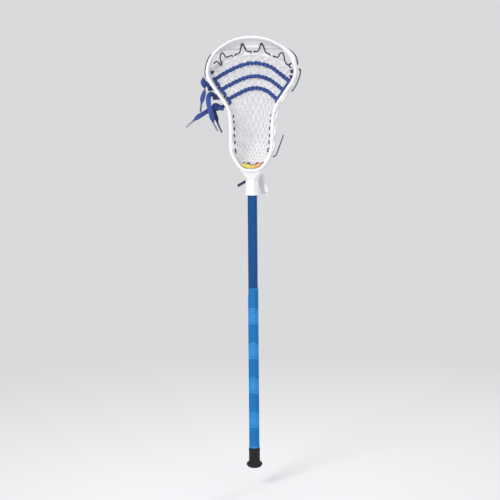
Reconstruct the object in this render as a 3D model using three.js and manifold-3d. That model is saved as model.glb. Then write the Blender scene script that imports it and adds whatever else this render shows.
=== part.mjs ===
// Field lacrosse stick: moulded head, strung mesh pocket, octagonal shaft, grip wrap and rubber end cap.
// Millimetres. +Z runs up the shaft from the butt to the scoop. The ball enters from -Y, the pocket
// bulges towards +Y, and +X is to the right of someone who looks into the pocket.
import * as THREE from 'three';
import { ConvexGeometry } from 'three/addons/geometries/ConvexGeometry.js';
import { mergeVertices } from 'three/addons/utils/BufferGeometryUtils.js';
import Module from 'manifold-3d';

const wasm = await Module();
wasm.setup();

// ---------------------------------------------------------------- driving dimensions
const GAP = 0.3;                    // clearance between neighbouring solids

const SHAFT_HALF = 10;              // centre to flat of the octagonal shaft
const SHAFT_WALL = 1.3;
const SHAFT_BOTTOM = 8.6;
const SHAFT_TOP = 647;

const GRIP_THICK = 1.0;
const GRIP_BOTTOM = 44.5;
const GRIP_TOP = 391;               // on the axis; the last turn of the wrap ends on a slant
const GRIP_SLANT = 0.8;             // rise of that end for each millimetre of X

const CAP_COLLAR_R = 12.1;
const CAP_FLANGE_R = 17.5;
const CAP_FLANGE = [[0, 0], [9, 0], [13.5, 1.6], [16.4, 4.4], [CAP_FLANGE_R, 8], [16.6, 11], [14, 12.6]];
const CAP_COLLAR_FOOT = 14.5;
const CAP_TOP = 43.5;
const CAP_FLOOR = 8;

const SOCKET_HALF = 13.8;
const SOCKET_LIP_HALF = 14.8;
const SOCKET_BOTTOM = 602;
const SOCKET_LIP_TOP = 608;
const SOCKET_TOP = 636;
const THROAT_TOP = 654.5;

const SCREW_Z = 620;
const SCREW_SHANK_R = 1.8;
const SCREW_HOLE_R = 2.2;
const SCREW_HEAD_R = 4;
const SCREW_HEAD_THICK = 2.6;
const SCREW_LENGTH = 9;
const SCREW_CHAMFER = [3, 1.2];     // the head's top radius, and the height where its edge slopes in
const SCREW_SLOT = [1.2, 1.1];      // depth doubled, and width

// The throat's solid, from the socket to the rim: [half x, half y, z]
const THROAT_LEVELS = [[20, 19, THROAT_TOP], [25.5, 17, THROAT_TOP + 5]];
// Half of the outline of the open space above the throat, as [x, z]
const BALL_WELL = [[12, 658], [21, 662], [30, 673], [40, 690]];
const BALL_WELL_HALF_DEPTH = 40;

const BALL_STOP_GAP = 0.9;
const BALL_STOP_THICK = 7.2;
const BALL_STOP_MARGIN = 8;         // from the rim's front and rear edges
const BALL_STOP_END = 0.105;        // how far it runs up each side, as a share of the rim
const BALL_STOP_STEPS = 8;

const STRING_R = 1.2;
const STRING_CLEAR = 1.6;           // from a surface to the centre of a string that lies on it
const LACE_R = 2.3;                 // of a free lace end, rolled up on itself
const AGLET_R = 2.1;
const AGLET_TIP_R = 1.5;
const MESH_END_R = 1.6;

// The rim of the head as pairs of outer edges, from the middle of the throat round the right side to
// the middle of the scoop: [front edge x, y, z, rear edge x, y, z]. The left side is its mirror image.
const RIM = [
  [0, -22, 652, 0, 22, 651],
  [14, -22, 654, 14, 22, 653],
  [27, -22, 662, 27, 23, 661],
  [38, -21, 677, 37.5, 26, 676],
  [46, -19, 696, 46, 30, 694],
  [48, -16, 722, 49.5, 35, 722],
  [48.5, -12, 753, 51, 39, 753],
  [51, -9, 778, 54.5, 41, 778],
  [57, -8, 793, 60, 42, 793],
  [67, -7, 808, 69, 42, 808],
  [82.5, -7, 830, 84, 41, 830],
  [92.5, -8, 845, 92.5, 39, 845],
  [98.5, -9, 862, 97, 36, 861.5],
  [96.5, -10, 880, 96.5, 32, 879.5],
  [90.5, -11, 894.5, 93.5, 29, 897],
  [81.5, -12, 907, 84.5, 26, 908],
  [65, -13, 921.5, 65, 22, 916],
  [43, -14, 934, 41, 18, 916.5],
  [22, -15, 940.3, 18, 14, 916.5],
  [0, -15, 942, 0, 13, 917.5],
];
const RIM_STEPS = 30;               // stations on each side
const FRONT_RAIL = 7;
const REAR_RAIL = 6.4;
const WEB = 3.2;
const WEB_RECESS = 1.4;
const RAIL_DEPTH = 7.5;
const RAIL_BLEND = 2;
const SCOOP_THICK = 4;
const SCOOP_LIP = 5;
const SCOOP_CROWN = 2.5;            // how far the scoop's plate bows outwards between its edges

// Sidewall windows: [lower z, upper z], between the two rails
const WINDOWS = [[699, 722], [731, 755], [765, 787], [800, 822], [834, 853]];
const WINDOW_INSET = 12.5;
const WINDOW_ROUND = 5;

const STRING_HOLE_R = 1.9;
const LACE_HOLE_R = 3;
const SCOOP_HOLE_R = 2;
const RAIL_HOLE_STATIONS = [0.213, 0.251, 0.277, 0.302, 0.33, 0.353, 0.55, 0.6, 0.65];
const LACE_HOLE_STATIONS = [0.43, 0.48, 0.525];
const SCOOP_HOLE_X = [20, 45, 65];
const SCOOP_HOLE_BACK = 16;          // from the scoop's rear edge to its string holes

// The pocket hangs from the rim's rear rail. Its places on the rim are shares of the rim's half length.
const POCKET_UPPER = 0.677;
const POCKET_LOWER = 0.125;
const POCKET_INSET = REAR_RAIL + 5.4;
const POCKET_BACK = 5;              // from the rim's rear edge
const POCKET_MIDDLE = [17, 30, 44, 56, 65, 71, 73, 69, 58, 42, 27];  // y down its middle, scoop to foot
const POCKET_TOP_RISE = 37;         // how much higher the top edge is in its middle
const POCKET_FOOT_DROP = 1;
const POCKET_THICK = 2.4;
const POCKET_COLUMNS = 12;
const POCKET_ROWS = 18;

// [v at the middle, v at the ends, rim station of its lace hole] for each lace, from the scoop down
const SHOOTERS = [[0.129, 0.152, 0.54], [0.279, 0.298, 0.492], [0.375, 0.397, 0.44]];
const SHOOTER_WIDTH = 7;
const SHOOTER_THICK = 3;
const SHOOTER_REACH = 0.93;         // share of the pocket's half width that it crosses
const SHOOTER_CLEAR = 5.2;
const SHOOTER_POINTS = 8;
const SHOOTER_END_BACK = 17;        // from the rim's rear edge to the end of a lace

// A sidewall string follows the rear rail between these places on the rim
const SIDEWALL_STRING = [0.665, 0.18];
const SIDEWALL_STRING_POINTS = 16;
const SIDEWALL_STRING_BACK = 4;

// Two runs lie on the outside of the rim near the scoop, one by its front edge and one by its rear edge
const UPPER_RUN_LEFT = [0.77, 0.62];
const UPPER_RUN_RIGHT = [0.825, 0.69];
const UPPER_RUN_EDGE = 5.5;         // from the edge it follows
const UPPER_RUN_POINTS = 14;

const group = new THREE.Group();
const X_AXIS = new THREE.Vector3(1, 0, 0);

// ---------------------------------------------------------------- helpers
const vec = (p) => new THREE.Vector3(p[0], p[1], p[2]);
const mirror = (points) => points.map(([x, y, z]) => [-x, y, z]);
const lerp = THREE.MathUtils.lerp;

function addPart(name, geometry, color, roughness, metalness) {
  const material = new THREE.MeshStandardMaterial({ color, roughness, metalness });
  const mesh = new THREE.Mesh(geometry, material);
  mesh.name = name;
  group.add(mesh);
}

function toSolid(geometry) {
  const plain = geometry.clone();
  plain.deleteAttribute('normal');
  plain.deleteAttribute('uv');
  const merged = mergeVertices(plain, 1e-4);
  const vertProperties = new Float32Array(merged.attributes.position.array);
  const triVerts = new Uint32Array(merged.index.array);
  return new wasm.Manifold(new wasm.Mesh({ numProp: 3, vertProperties, triVerts }));
}

function toGeometry(solid) {
  const mesh = solid.getMesh();
  const geometry = new THREE.BufferGeometry();
  geometry.setAttribute('position', new THREE.BufferAttribute(new Float32Array(mesh.vertProperties), 3));
  geometry.setIndex(new THREE.BufferAttribute(new Uint32Array(mesh.triVerts), 1));
  geometry.computeVertexNormals();
  return geometry;
}

// A closed skin through rings of points. A loop joins its last ring to its first; otherwise both
// ends are closed by a fan of triangles. It turns the faces outwards whatever way the rings run.
function loft(rings, isLoop) {
  const sides = rings[0].length;
  const points = rings.flat().flatMap((p) => [p.x, p.y, p.z]);
  const faces = [];
  const spans = isLoop ? rings.length : rings.length - 1;
  for (let i = 0; i < spans; i += 1) {
    const next = (i + 1) % rings.length;
    for (let j = 0; j < sides; j += 1) {
      const k = (j + 1) % sides;
      const [a, b, c, d] = [i * sides + j, i * sides + k, next * sides + k, next * sides + j];
      faces.push(a, b, c, a, c, d);
    }
  }
  if (!isLoop) {
    const last = (rings.length - 1) * sides;
    for (let j = 1; j < sides - 1; j += 1) {
      faces.push(0, j + 1, j);
      faces.push(last, last + j, last + j + 1);
    }
  }
  return outward(points, faces);
}

function outward(points, faces) {
  const corner = (i) => new THREE.Vector3().fromArray(points, faces[i] * 3);
  let volume = 0;
  for (let i = 0; i < faces.length; i += 3) {
    volume += corner(i).dot(corner(i + 1).cross(corner(i + 2)));
  }
  const order = volume < 0 ? faces.slice().reverse() : faces;
  const geometry = new THREE.BufferGeometry();
  geometry.setAttribute('position', new THREE.Float32BufferAttribute(points, 3));
  geometry.setIndex(order);
  geometry.computeVertexNormals();
  return geometry;
}

function octagon(half) {
  const r = half / Math.cos(Math.PI / 8);
  const shape = new THREE.Shape();
  for (let i = 0; i < 8; i += 1) {
    const a = Math.PI / 8 + (i * Math.PI) / 4;
    const [x, y] = [r * Math.cos(a), r * Math.sin(a)];
    if (i === 0) shape.moveTo(x, y);
    else shape.lineTo(x, y);
  }
  shape.closePath();
  return shape;
}

function prism(shape, bottom, top) {
  const geometry = new THREE.ExtrudeGeometry(shape, { depth: top - bottom, bevelEnabled: false });
  geometry.translate(0, 0, bottom);
  return geometry;
}

function rod(radius, from, to, sides) {
  const axis = to.clone().sub(from);
  const geometry = new THREE.CylinderGeometry(radius, radius, axis.length(), sides);
  geometry.applyQuaternion(
    new THREE.Quaternion().setFromUnitVectors(new THREE.Vector3(0, 1, 0), axis.clone().normalize()),
  );
  geometry.translate(...from.clone().add(to).multiplyScalar(0.5).toArray());
  return geometry;
}

function ellipse(halfWidth, halfThick, sides) {
  const shape = new THREE.Shape();
  for (let i = 0; i < sides; i += 1) {
    const a = ((i + 0.5) * 2 * Math.PI) / sides;
    const [x, y] = [halfWidth * Math.cos(a), halfThick * Math.sin(a)];
    if (i === 0) shape.moveTo(x, y);
    else shape.lineTo(x, y);
  }
  shape.closePath();
  return shape;
}

function tube(points, section, step) {
  const curve = new THREE.CatmullRomCurve3(points.map(vec), false, 'centripetal');
  const steps = Math.max(4, Math.round(curve.getLength() / step));
  return new THREE.ExtrudeGeometry(section, { steps, extrudePath: curve, bevelEnabled: false });
}

const stringTube = (points) => tube(points, ellipse(STRING_R, STRING_R, 8), 6.5);
const laceTube = (points) => tube(points, ellipse(LACE_R, LACE_R, 8), 7);

// ---------------------------------------------------------------- head
const frontCurve = new THREE.CatmullRomCurve3(RIM.map((r) => vec(r.slice(0, 3))), false, 'centripetal');
const rearCurve = new THREE.CatmullRomCurve3(RIM.map((r) => vec(r.slice(3))), false, 'centripetal');

// The rim at t from 0, the throat, to 1, the scoop: its outer edges, the way from front to rear
// edge, the way out of the head, and how far the section has turned from sidewall to scoop.
function station(t) {
  const front = frontCurve.getPoint(t);
  const rear = rearCurve.getPoint(t);
  const across = rear.clone().sub(front);
  const depth = across.length();
  across.normalize();
  const along = frontCurve.getTangent(t).add(rearCurve.getTangent(t)).normalize();
  const out = across.clone().cross(along).normalize();
  const scoop = THREE.MathUtils.smoothstep(t, 0.66, 0.86);
  return { front, across, depth, out, scoop };
}

const railPoint = (s, distance, inset) => (
  s.front.clone().addScaledVector(s.across, distance).addScaledVector(s.out, -inset)
);

function rimSection(t) {
  const s = station(t);
  const frontWidth = lerp(FRONT_RAIL, SCOOP_LIP, s.scoop);
  const rearWidth = lerp(REAR_RAIL, SCOOP_THICK, s.scoop);
  const recess = lerp(WEB_RECESS, -SCOOP_CROWN, s.scoop);
  const webInner = lerp(WEB + WEB_RECESS, SCOOP_THICK - SCOOP_CROWN, s.scoop);
  const inner = s.depth - RAIL_DEPTH;
  return [
    [0, 0],
    [RAIL_DEPTH, 0],
    [RAIL_DEPTH + RAIL_BLEND, recess],
    [inner - RAIL_BLEND, recess],
    [inner, 0],
    [s.depth, 0],
    [s.depth, rearWidth],
    [inner, rearWidth],
    [inner - RAIL_BLEND, webInner],
    [RAIL_DEPTH + RAIL_BLEND, webInner],
    [RAIL_DEPTH, frontWidth],
    [0, frontWidth],
  ].map(([distance, inset]) => railPoint(s, distance, inset));
}

function rimLoop() {
  const rings = [];
  for (let i = 0; i <= RIM_STEPS; i += 1) rings.push(rimSection(i / RIM_STEPS));
  const flip = (ring) => ring.map((p) => new THREE.Vector3(-p.x, p.y, p.z));
  const leftSide = rings.slice(1, RIM_STEPS).reverse().map(flip);
  return loft([...rings, ...leftSide], true);
}

function throatBody() {
  const corners = [];
  for (const [x, y, z] of THROAT_LEVELS) {
    for (const side of [-1, 1]) {
      corners.push(new THREE.Vector3(side * x, y, z));
      corners.push(new THREE.Vector3(side * x, -y, z));
    }
  }
  for (const p of octagon(SOCKET_HALF).getPoints()) {
    corners.push(new THREE.Vector3(p.x, p.y, SOCKET_TOP));
  }
  return new ConvexGeometry(corners);
}

// The open space above the throat, which the throat body is cut back to
function ballWell() {
  const left = BALL_WELL.map(([x, z]) => [-x, z]).reverse();
  const shape = new THREE.Shape([...left, ...BALL_WELL].map(([x, z]) => new THREE.Vector2(x, z)));
  const depth = 2 * BALL_WELL_HALF_DEPTH;
  const geometry = new THREE.ExtrudeGeometry(shape, { depth, bevelEnabled: false });
  geometry.rotateX(Math.PI / 2);
  geometry.translate(0, BALL_WELL_HALF_DEPTH, 0);
  return geometry;
}

// A sidewall window as a prism along X through both walls, its corners cut off
function windowCutter(low, high) {
  const edges = (z) => {
    const t = railAtHeight(z);
    const front = frontCurve.getPoint(t);
    const rear = rearCurve.getPoint(t);
    return [front.y + WINDOW_INSET, rear.y - WINDOW_INSET];
  };
  const [frontLow, rearLow] = edges(low);
  const [frontHigh, rearHigh] = edges(high);
  const r = WINDOW_ROUND;
  const shape = new THREE.Shape();
  shape.moveTo(frontLow + r, low);
  shape.lineTo(rearLow - r, low);
  shape.lineTo(rearLow, low + r);
  shape.lineTo(rearHigh, high - r);
  shape.lineTo(rearHigh - r, high);
  shape.lineTo(frontHigh + r, high);
  shape.lineTo(frontHigh, high - r);
  shape.lineTo(frontLow, low + r);
  shape.closePath();
  const geometry = new THREE.ExtrudeGeometry(shape, { depth: 240, bevelEnabled: false });
  const turn = new THREE.Matrix4().makeBasis(
    new THREE.Vector3(0, 1, 0),
    new THREE.Vector3(0, 0, 1),
    X_AXIS,
  );
  geometry.applyMatrix4(turn);
  geometry.translate(-120, 0, 0);
  return geometry;
}

// The place on the sidewall, as t, at a height: found by halving the interval
function railAtHeight(z) {
  let low = 0.1;
  let high = 0.75;
  for (let i = 0; i < 30; i += 1) {
    const middle = (low + high) / 2;
    if (frontCurve.getPoint(middle).z < z) low = middle;
    else high = middle;
  }
  return (low + high) / 2;
}

function holeCutters(t, fromRear, radius) {
  const s = station(t);
  const outer = railPoint(s, s.depth - fromRear, -6);
  const inner = railPoint(s, s.depth - fromRear, 14);
  const flip = (p) => new THREE.Vector3(-p.x, p.y, p.z);
  return [rod(radius, outer, inner, 8), rod(radius, flip(outer), flip(inner), 8)];
}

function scoopStation(x) {
  let low = 0.75;
  let high = 1;
  for (let i = 0; i < 30; i += 1) {
    const middle = (low + high) / 2;
    if (rearCurve.getPoint(middle).x > x) low = middle;
    else high = middle;
  }
  return (low + high) / 2;
}

function buildHead() {
  let head = toSolid(rimLoop());
  const throat = toSolid(throatBody()).subtract(toSolid(ballWell()));
  head = head.add(throat);
  head = head.add(toSolid(prism(octagon(SOCKET_HALF), SOCKET_LIP_TOP - 0.5, SOCKET_TOP + 0.5)));
  head = head.add(toSolid(prism(octagon(SOCKET_LIP_HALF), SOCKET_BOTTOM, SOCKET_LIP_TOP)));
  const bore = prism(octagon(SHAFT_HALF + GAP), SOCKET_BOTTOM - 1, SHAFT_TOP + GAP);
  const screwHole = rod(SCREW_HOLE_R, vec([0, 0, SCREW_Z]), vec([0, 30, SCREW_Z]), 12);
  const cutters = [bore, screwHole];
  for (const [low, high] of WINDOWS) cutters.push(windowCutter(low, high));
  for (const t of RAIL_HOLE_STATIONS) cutters.push(...holeCutters(t, 4, STRING_HOLE_R));
  for (const t of LACE_HOLE_STATIONS) cutters.push(...holeCutters(t, 4.5, LACE_HOLE_R));
  for (const x of SCOOP_HOLE_X) cutters.push(...holeCutters(scoopStation(x), SCOOP_HOLE_BACK, SCOOP_HOLE_R));
  for (const cutter of cutters) head = head.subtract(toSolid(cutter));
  return toGeometry(head);
}

addPart('head_frame', buildHead(), 0xf4f4f7, 0.45, 0);

// Foam strip on the floor of the throat, bent along the inside of the rim
function buildBallStop() {
  const rings = [];
  for (let i = -BALL_STOP_STEPS; i <= BALL_STOP_STEPS; i += 1) {
    const s = station((Math.abs(i) / BALL_STOP_STEPS) * BALL_STOP_END);
    const low = FRONT_RAIL + BALL_STOP_GAP;
    const high = low + BALL_STOP_THICK;
    const [near, far] = [BALL_STOP_MARGIN, s.depth - BALL_STOP_MARGIN];
    const corners = [[near, low], [far, low], [far, high], [near, high]];
    const ring = corners.map(([distance, inset]) => railPoint(s, distance, inset));
    rings.push(i < 0 ? ring.map((p) => new THREE.Vector3(-p.x, p.y, p.z)) : ring);
  }
  return loft(rings, false);
}

addPart('ball_stop', buildBallStop(), 0xe8dc5c, 0.9, 0);

// ---------------------------------------------------------------- shaft, grip, cap and screw
function octagonTube(outerHalf, innerHalf, bottom, top) {
  const shape = octagon(outerHalf);
  shape.holes.push(octagon(innerHalf));
  return prism(shape, bottom, top);
}

function buildShaft() {
  const tubeSolid = toSolid(octagonTube(SHAFT_HALF, SHAFT_HALF - SHAFT_WALL, SHAFT_BOTTOM, SHAFT_TOP));
  const hole = rod(SCREW_HOLE_R, new THREE.Vector3(0, 2, SCREW_Z), new THREE.Vector3(0, 20, SCREW_Z), 12);
  return toGeometry(tubeSolid.subtract(toSolid(hole)));
}

function buildGrip() {
  const geometry = octagonTube(SHAFT_HALF + GAP + GRIP_THICK, SHAFT_HALF + GAP, GRIP_BOTTOM, GRIP_TOP);
  const position = geometry.attributes.position;
  for (let i = 0; i < position.count; i += 1) {
    if (position.getZ(i) > GRIP_TOP - 1) position.setZ(i, GRIP_TOP + GRIP_SLANT * position.getX(i));
  }
  geometry.computeVertexNormals();
  return geometry;
}

function buildEndCap() {
  const profile = [
    ...CAP_FLANGE,
    [CAP_COLLAR_R, CAP_COLLAR_FOOT],
    [CAP_COLLAR_R, CAP_TOP - 0.8],
    [CAP_COLLAR_R - 0.5, CAP_TOP],
    [0, CAP_TOP],
  ].map(([r, z]) => new THREE.Vector2(r, z));
  const geometry = new THREE.LatheGeometry(profile, 32);
  geometry.rotateX(Math.PI / 2);
  const bore = prism(octagon(SHAFT_HALF + GAP), CAP_FLOOR, CAP_TOP + 1);
  return toGeometry(toSolid(geometry).subtract(toSolid(bore)));
}

function buildScrew() {
  const seat = SOCKET_HALF + GAP;
  const shank = rod(
    SCREW_SHANK_R,
    new THREE.Vector3(0, seat - SCREW_LENGTH, SCREW_Z),
    new THREE.Vector3(0, seat + 0.5, SCREW_Z),
    12,
  );
  const profile = [
    [0, 0],
    [SCREW_HEAD_R, 0],
    [SCREW_HEAD_R, SCREW_CHAMFER[1]],
    [SCREW_CHAMFER[0], SCREW_HEAD_THICK],
    [0, SCREW_HEAD_THICK],
  ];
  const head = new THREE.LatheGeometry(profile.map(([r, y]) => new THREE.Vector2(r, y)), 16);
  head.translate(0, seat, SCREW_Z);
  const slot = new THREE.BoxGeometry(SCREW_HEAD_R * 3, ...SCREW_SLOT);
  slot.translate(0, seat + SCREW_HEAD_THICK, SCREW_Z);
  return toGeometry(toSolid(head).add(toSolid(shank)).subtract(toSolid(slot)));
}

addPart('shaft', buildShaft(), 0x235896, 0.35, 0.7);
addPart('grip_wrap', buildGrip(), 0x2a84c8, 0.8, 0);
addPart('end_cap', buildEndCap(), 0x232123, 0.85, 0);
addPart('head_screw', buildScrew(), 0x8c8f94, 0.35, 1);

// ---------------------------------------------------------------- pocket
function sample(values, v) {
  const place = Math.min(Math.max(v, 0), 1) * (values.length - 1);
  const i = Math.min(Math.floor(place), values.length - 2);
  return lerp(values[i], values[i + 1], place - i);
}

// A point of the pocket's inner face: u from -1 at the left sidewall to 1, v from 0 at the scoop to 1
function pocketPoint(u, v) {
  const s = station(lerp(POCKET_UPPER, POCKET_LOWER, v));
  const edge = railPoint(s, s.depth - POCKET_BACK, POCKET_INSET);
  const crown = 1 - u * u;
  const rise = lerp(POCKET_TOP_RISE, -POCKET_FOOT_DROP, v);
  return new THREE.Vector3(u * edge.x, lerp(edge.y, sample(POCKET_MIDDLE, v), crown), edge.z + rise * crown);
}

function buildPocket() {
  const points = [];
  for (const shift of [0, POCKET_THICK]) {
    for (let j = 0; j <= POCKET_ROWS; j += 1) {
      for (let i = 0; i <= POCKET_COLUMNS; i += 1) {
        const p = pocketPoint((2 * i) / POCKET_COLUMNS - 1, j / POCKET_ROWS);
        points.push(p.x, p.y + shift, p.z);
      }
    }
  }
  const row = POCKET_COLUMNS + 1;
  const sheet = row * (POCKET_ROWS + 1);
  const faces = [];
  for (let j = 0; j < POCKET_ROWS; j += 1) {
    for (let i = 0; i < POCKET_COLUMNS; i += 1) {
      const a = j * row + i;
      const b = sheet + a;
      faces.push(a, a + 1, a + row + 1, a, a + row + 1, a + row);
      faces.push(b, b + row + 1, b + 1, b, b + row, b + row + 1);
    }
  }
  const wall = (a, b) => faces.push(a, sheet + a, sheet + b, a, sheet + b, b);
  const foot = POCKET_ROWS * row;
  for (let i = 0; i < POCKET_COLUMNS; i += 1) {
    wall(i, i + 1);
    wall(foot + i + 1, foot + i);
  }
  for (let j = 0; j < POCKET_ROWS; j += 1) {
    wall((j + 1) * row, j * row);
    wall(j * row + POCKET_COLUMNS, (j + 1) * row + POCKET_COLUMNS);
  }
  return outward(points, faces);
}

addPart('pocket_mesh', buildPocket(), 0xf2f2f6, 0.85, 0);

// ---------------------------------------------------------------- strings
const NAVY = 0x3c4678;
const ROYAL = 0x3c5ab4;

// The top string rises to a hole in the scoop and falls to the mesh, two V's on each side
function topStringHalf() {
  const apex = (x) => {
    const s = station(scoopStation(x));
    return railPoint(s, s.depth - SCOOP_HOLE_BACK, SCOOP_THICK + STRING_CLEAR).toArray();
  };
  return [
    [4, 12, 909.5],
    apex(SCOOP_HOLE_X[0]),
    [36, 14, 903.5],
    [46, 15, 900],
    apex(SCOOP_HOLE_X[2]),
    [71, 19, 885],
  ];
}

const topHalf = topStringHalf();
addPart('top_string', stringTube([...mirror(topHalf).reverse(), ...topHalf]), NAVY, 0.7, 0);

// A sidewall string runs down the inside of the rear rail, from the pocket's upper corner to its foot
function sidewallString() {
  const points = [];
  const [first, last] = SIDEWALL_STRING;
  for (let i = 0; i <= SIDEWALL_STRING_POINTS; i += 1) {
    const s = station(lerp(first, last, i / SIDEWALL_STRING_POINTS));
    points.push(railPoint(s, s.depth - SIDEWALL_STRING_BACK, REAR_RAIL + STRING_CLEAR + GAP).toArray());
  }
  return points;
}

addPart('sidewall_string_right', stringTube(sidewallString()), NAVY, 0.7, 0);
addPart('sidewall_string_left', stringTube(mirror(sidewallString())), NAVY, 0.7, 0);

function upperRun([first, last], fromFront) {
  const points = [];
  for (let i = 0; i <= UPPER_RUN_POINTS; i += 1) {
    const s = station(lerp(first, last, i / UPPER_RUN_POINTS));
    const distance = fromFront ? UPPER_RUN_EDGE : s.depth - UPPER_RUN_EDGE;
    points.push(railPoint(s, distance, -STRING_CLEAR).toArray());
  }
  return points;
}

addPart('upper_string_run_left', stringTube(mirror(upperRun(UPPER_RUN_LEFT, true))), NAVY, 0.7, 0);
addPart('upper_string_run_right', stringTube(upperRun(UPPER_RUN_RIGHT, false)), NAVY, 0.7, 0);

const bottomString = [
  [-20, 17, 676], [-16, 18.5, 669.5], [-10, 20.5, 673.5], [-4, 21, 667],
  [2, 21, 673], [8, 20.5, 667], [14, 19, 673], [19, 17, 673],
];
addPart('bottom_string', stringTube(bottomString), NAVY, 0.7, 0);

// The cut end of a sidewall string stands off the head from the sidewall's outer face
const stringTail = [
  [43.4, 14, 684.5], [47, 14, 685.3], [50.8, 14, 688.8], [53.8, 14, 696], [58, 14, 707], [62.5, 13, 719],
  [67, 12, 731],
];
addPart('sidewall_string_tail', stringTube(stringTail), NAVY, 0.7, 0);

// ---------------------------------------------------------------- shooting laces
function shooterHalf([middle, end, hole]) {
  const points = [];
  for (let i = 1; i <= SHOOTER_POINTS; i += 1) {
    const u = (SHOOTER_REACH * i) / SHOOTER_POINTS;
    const p = pocketPoint(u, lerp(middle, end, (u / SHOOTER_REACH) ** 2));
    points.push([p.x, p.y - SHOOTER_CLEAR, p.z]);
  }
  const s = station(hole);
  points.push(railPoint(s, s.depth - SHOOTER_END_BACK, REAR_RAIL + SHOOTER_THICK).toArray());
  return points;
}

SHOOTERS.forEach((shooter, i) => {
  const half = shooterHalf(shooter);
  const centre = pocketPoint(0, shooter[0]);
  const path = [...mirror(half).reverse(), [0, centre.y - SHOOTER_CLEAR, centre.z], ...half];
  const section = ellipse(SHOOTER_THICK / 2, SHOOTER_WIDTH / 2, 8);
  addPart(`shooting_lace_${i + 1}`, tube(path, section, 9), ROYAL, 0.75, 0);
});

// A slack run outside the right sidewall, close to it at both ends
const outerRun = [
  [99.6, 24, 873], [102.3, 24, 868.5], [102.6, 24, 862], [100, 24, 853], [95.3, 24.5, 841],
  [88, 25, 828.5], [84, 25, 824.3],
];
addPart('shooting_lace_outer_run', stringTube(outerRun), ROYAL, 0.75, 0);

// Free lace ends on the left, as routes from the sidewall to the aglet, then the aglet's two ends
const LACE_TAILS = {
  a: [
    [-88, 29, 832], [-94, 27, 836], [-99.5, 24, 841], [-104.5, 21, 848], [-106, 19, 856], [-108.2, 18, 856.5],
    [-109.2, 17.5, 849], [-106.5, 17, 840], [-104.6, 17, 832.5], [-106.5, 17, 823], [-109.7, 17, 812.4],
    [-112.5, 17, 799.7],
  ],
  b: [
    [-66, 30.5, 787.5], [-73, 28.5, 790.5], [-82.3, 25.5, 793], [-90.1, 22, 790.7], [-98.3, 18, 784.8],
    [-108.2, 16, 778.7], [-120, 15, 771.5], [-129.5, 13.5, 763.8],
  ],
  c: [
    [-76, 31, 811], [-82, 30, 813], [-87.3, 27, 819], [-92.3, 24, 821], [-96.2, 18, 815.5], [-96.3, 13, 805],
    [-94.2, 10, 792.7], [-90.2, 8, 779.7], [-86.9, 8, 766.8], [-85, 8, 758.5],
  ],
  d: [
    [-70, 34, 793], [-76.7, 34, 795], [-84, 32, 797.3], [-88, 30, 794.1], [-86.8, 28, 784.3],
    [-82.2, 27, 770.5], [-78.6, 26, 758],
  ],
};
const AGLETS = {
  a: [[-112.7, 17, 798.8], [-114.4, 16, 783]],
  b: [[-130.4, 13.4, 763], [-145.6, 12, 750]],
  c: [[-84.8, 8, 757.6], [-75.8, 8, 741]],
  d: [[-78.2, 25.9, 757], [-69.4, 25, 737.8]],
};

function aglet([from, to]) {
  const [start, end] = [vec(from), vec(to)];
  const geometry = new THREE.CylinderGeometry(AGLET_TIP_R, AGLET_R, start.distanceTo(end), 8);
  const turn = new THREE.Quaternion();
  turn.setFromUnitVectors(new THREE.Vector3(0, 1, 0), end.clone().sub(start).normalize());
  geometry.applyQuaternion(turn);
  geometry.translate(...start.add(end).multiplyScalar(0.5).toArray());
  return geometry;
}

for (const [letter, route] of Object.entries(LACE_TAILS)) {
  addPart(`lace_tail_${letter}`, laceTube(route), ROYAL, 0.75, 0);
  addPart(`aglet_${letter}`, aglet(AGLETS[letter]), 0x9696a5, 0.3, 0);
}

const throatLace = [
  [2, 24, 641], [-6, 22.5, 638], [-14, 19, 633], [-20, 15, 629.5], [-27, 12, 625.5], [-33, 10, 622],
];
addPart('throat_lace_end', laceTube(throatLace), NAVY, 0.75, 0);

// Cut ends of the mesh that hang behind the throat
const MESH_TAILS = [
  [[9, 27, 656], [12, 27.5, 645], [16, 27, 632], [21, 25, 618], [25.5, 23.5, 607], [28, 23, 600]],
  [[6, 28, 654], [8.5, 29.5, 642], [12, 30, 628], [16.5, 28, 615], [20.5, 26, 604]],
  [[12, 25, 659], [17, 24, 648], [21, 23, 635], [26, 20, 621], [29, 19, 608]],
];
MESH_TAILS.forEach((route, i) => {
  addPart(`mesh_tail_${i + 1}`, tube(route, ellipse(MESH_END_R, MESH_END_R, 8), 6), 0xd8d8de, 0.9, 0);
});

export default group;
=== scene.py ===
import math

import bmesh
import bpy
import numpy as np
from mathutils import Matrix, Vector


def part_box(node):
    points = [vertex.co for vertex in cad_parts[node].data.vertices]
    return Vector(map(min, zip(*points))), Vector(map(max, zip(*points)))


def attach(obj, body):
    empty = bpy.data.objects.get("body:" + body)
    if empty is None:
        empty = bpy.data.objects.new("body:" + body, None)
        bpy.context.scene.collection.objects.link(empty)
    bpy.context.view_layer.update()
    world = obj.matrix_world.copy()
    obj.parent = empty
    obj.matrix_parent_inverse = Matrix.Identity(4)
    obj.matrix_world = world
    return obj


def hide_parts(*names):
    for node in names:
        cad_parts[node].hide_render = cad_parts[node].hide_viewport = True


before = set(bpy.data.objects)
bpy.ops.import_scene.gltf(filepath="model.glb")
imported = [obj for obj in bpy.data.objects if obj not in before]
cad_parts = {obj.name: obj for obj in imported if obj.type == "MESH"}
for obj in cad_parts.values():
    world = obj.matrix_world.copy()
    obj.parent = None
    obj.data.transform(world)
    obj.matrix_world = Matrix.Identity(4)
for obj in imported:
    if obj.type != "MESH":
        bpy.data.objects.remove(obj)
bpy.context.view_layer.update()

SCENE = bpy.context.scene
rng = np.random.default_rng(7)


# ---------------------------------------------------------------- numbers and curves
def mm(points):
    return np.asarray(points, float) * 0.001


def sided(points, side=-1):
    """The points of the right side for side 1, and of the left for side -1."""
    return np.asarray(points) * np.array([side, 1, 1])


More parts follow.
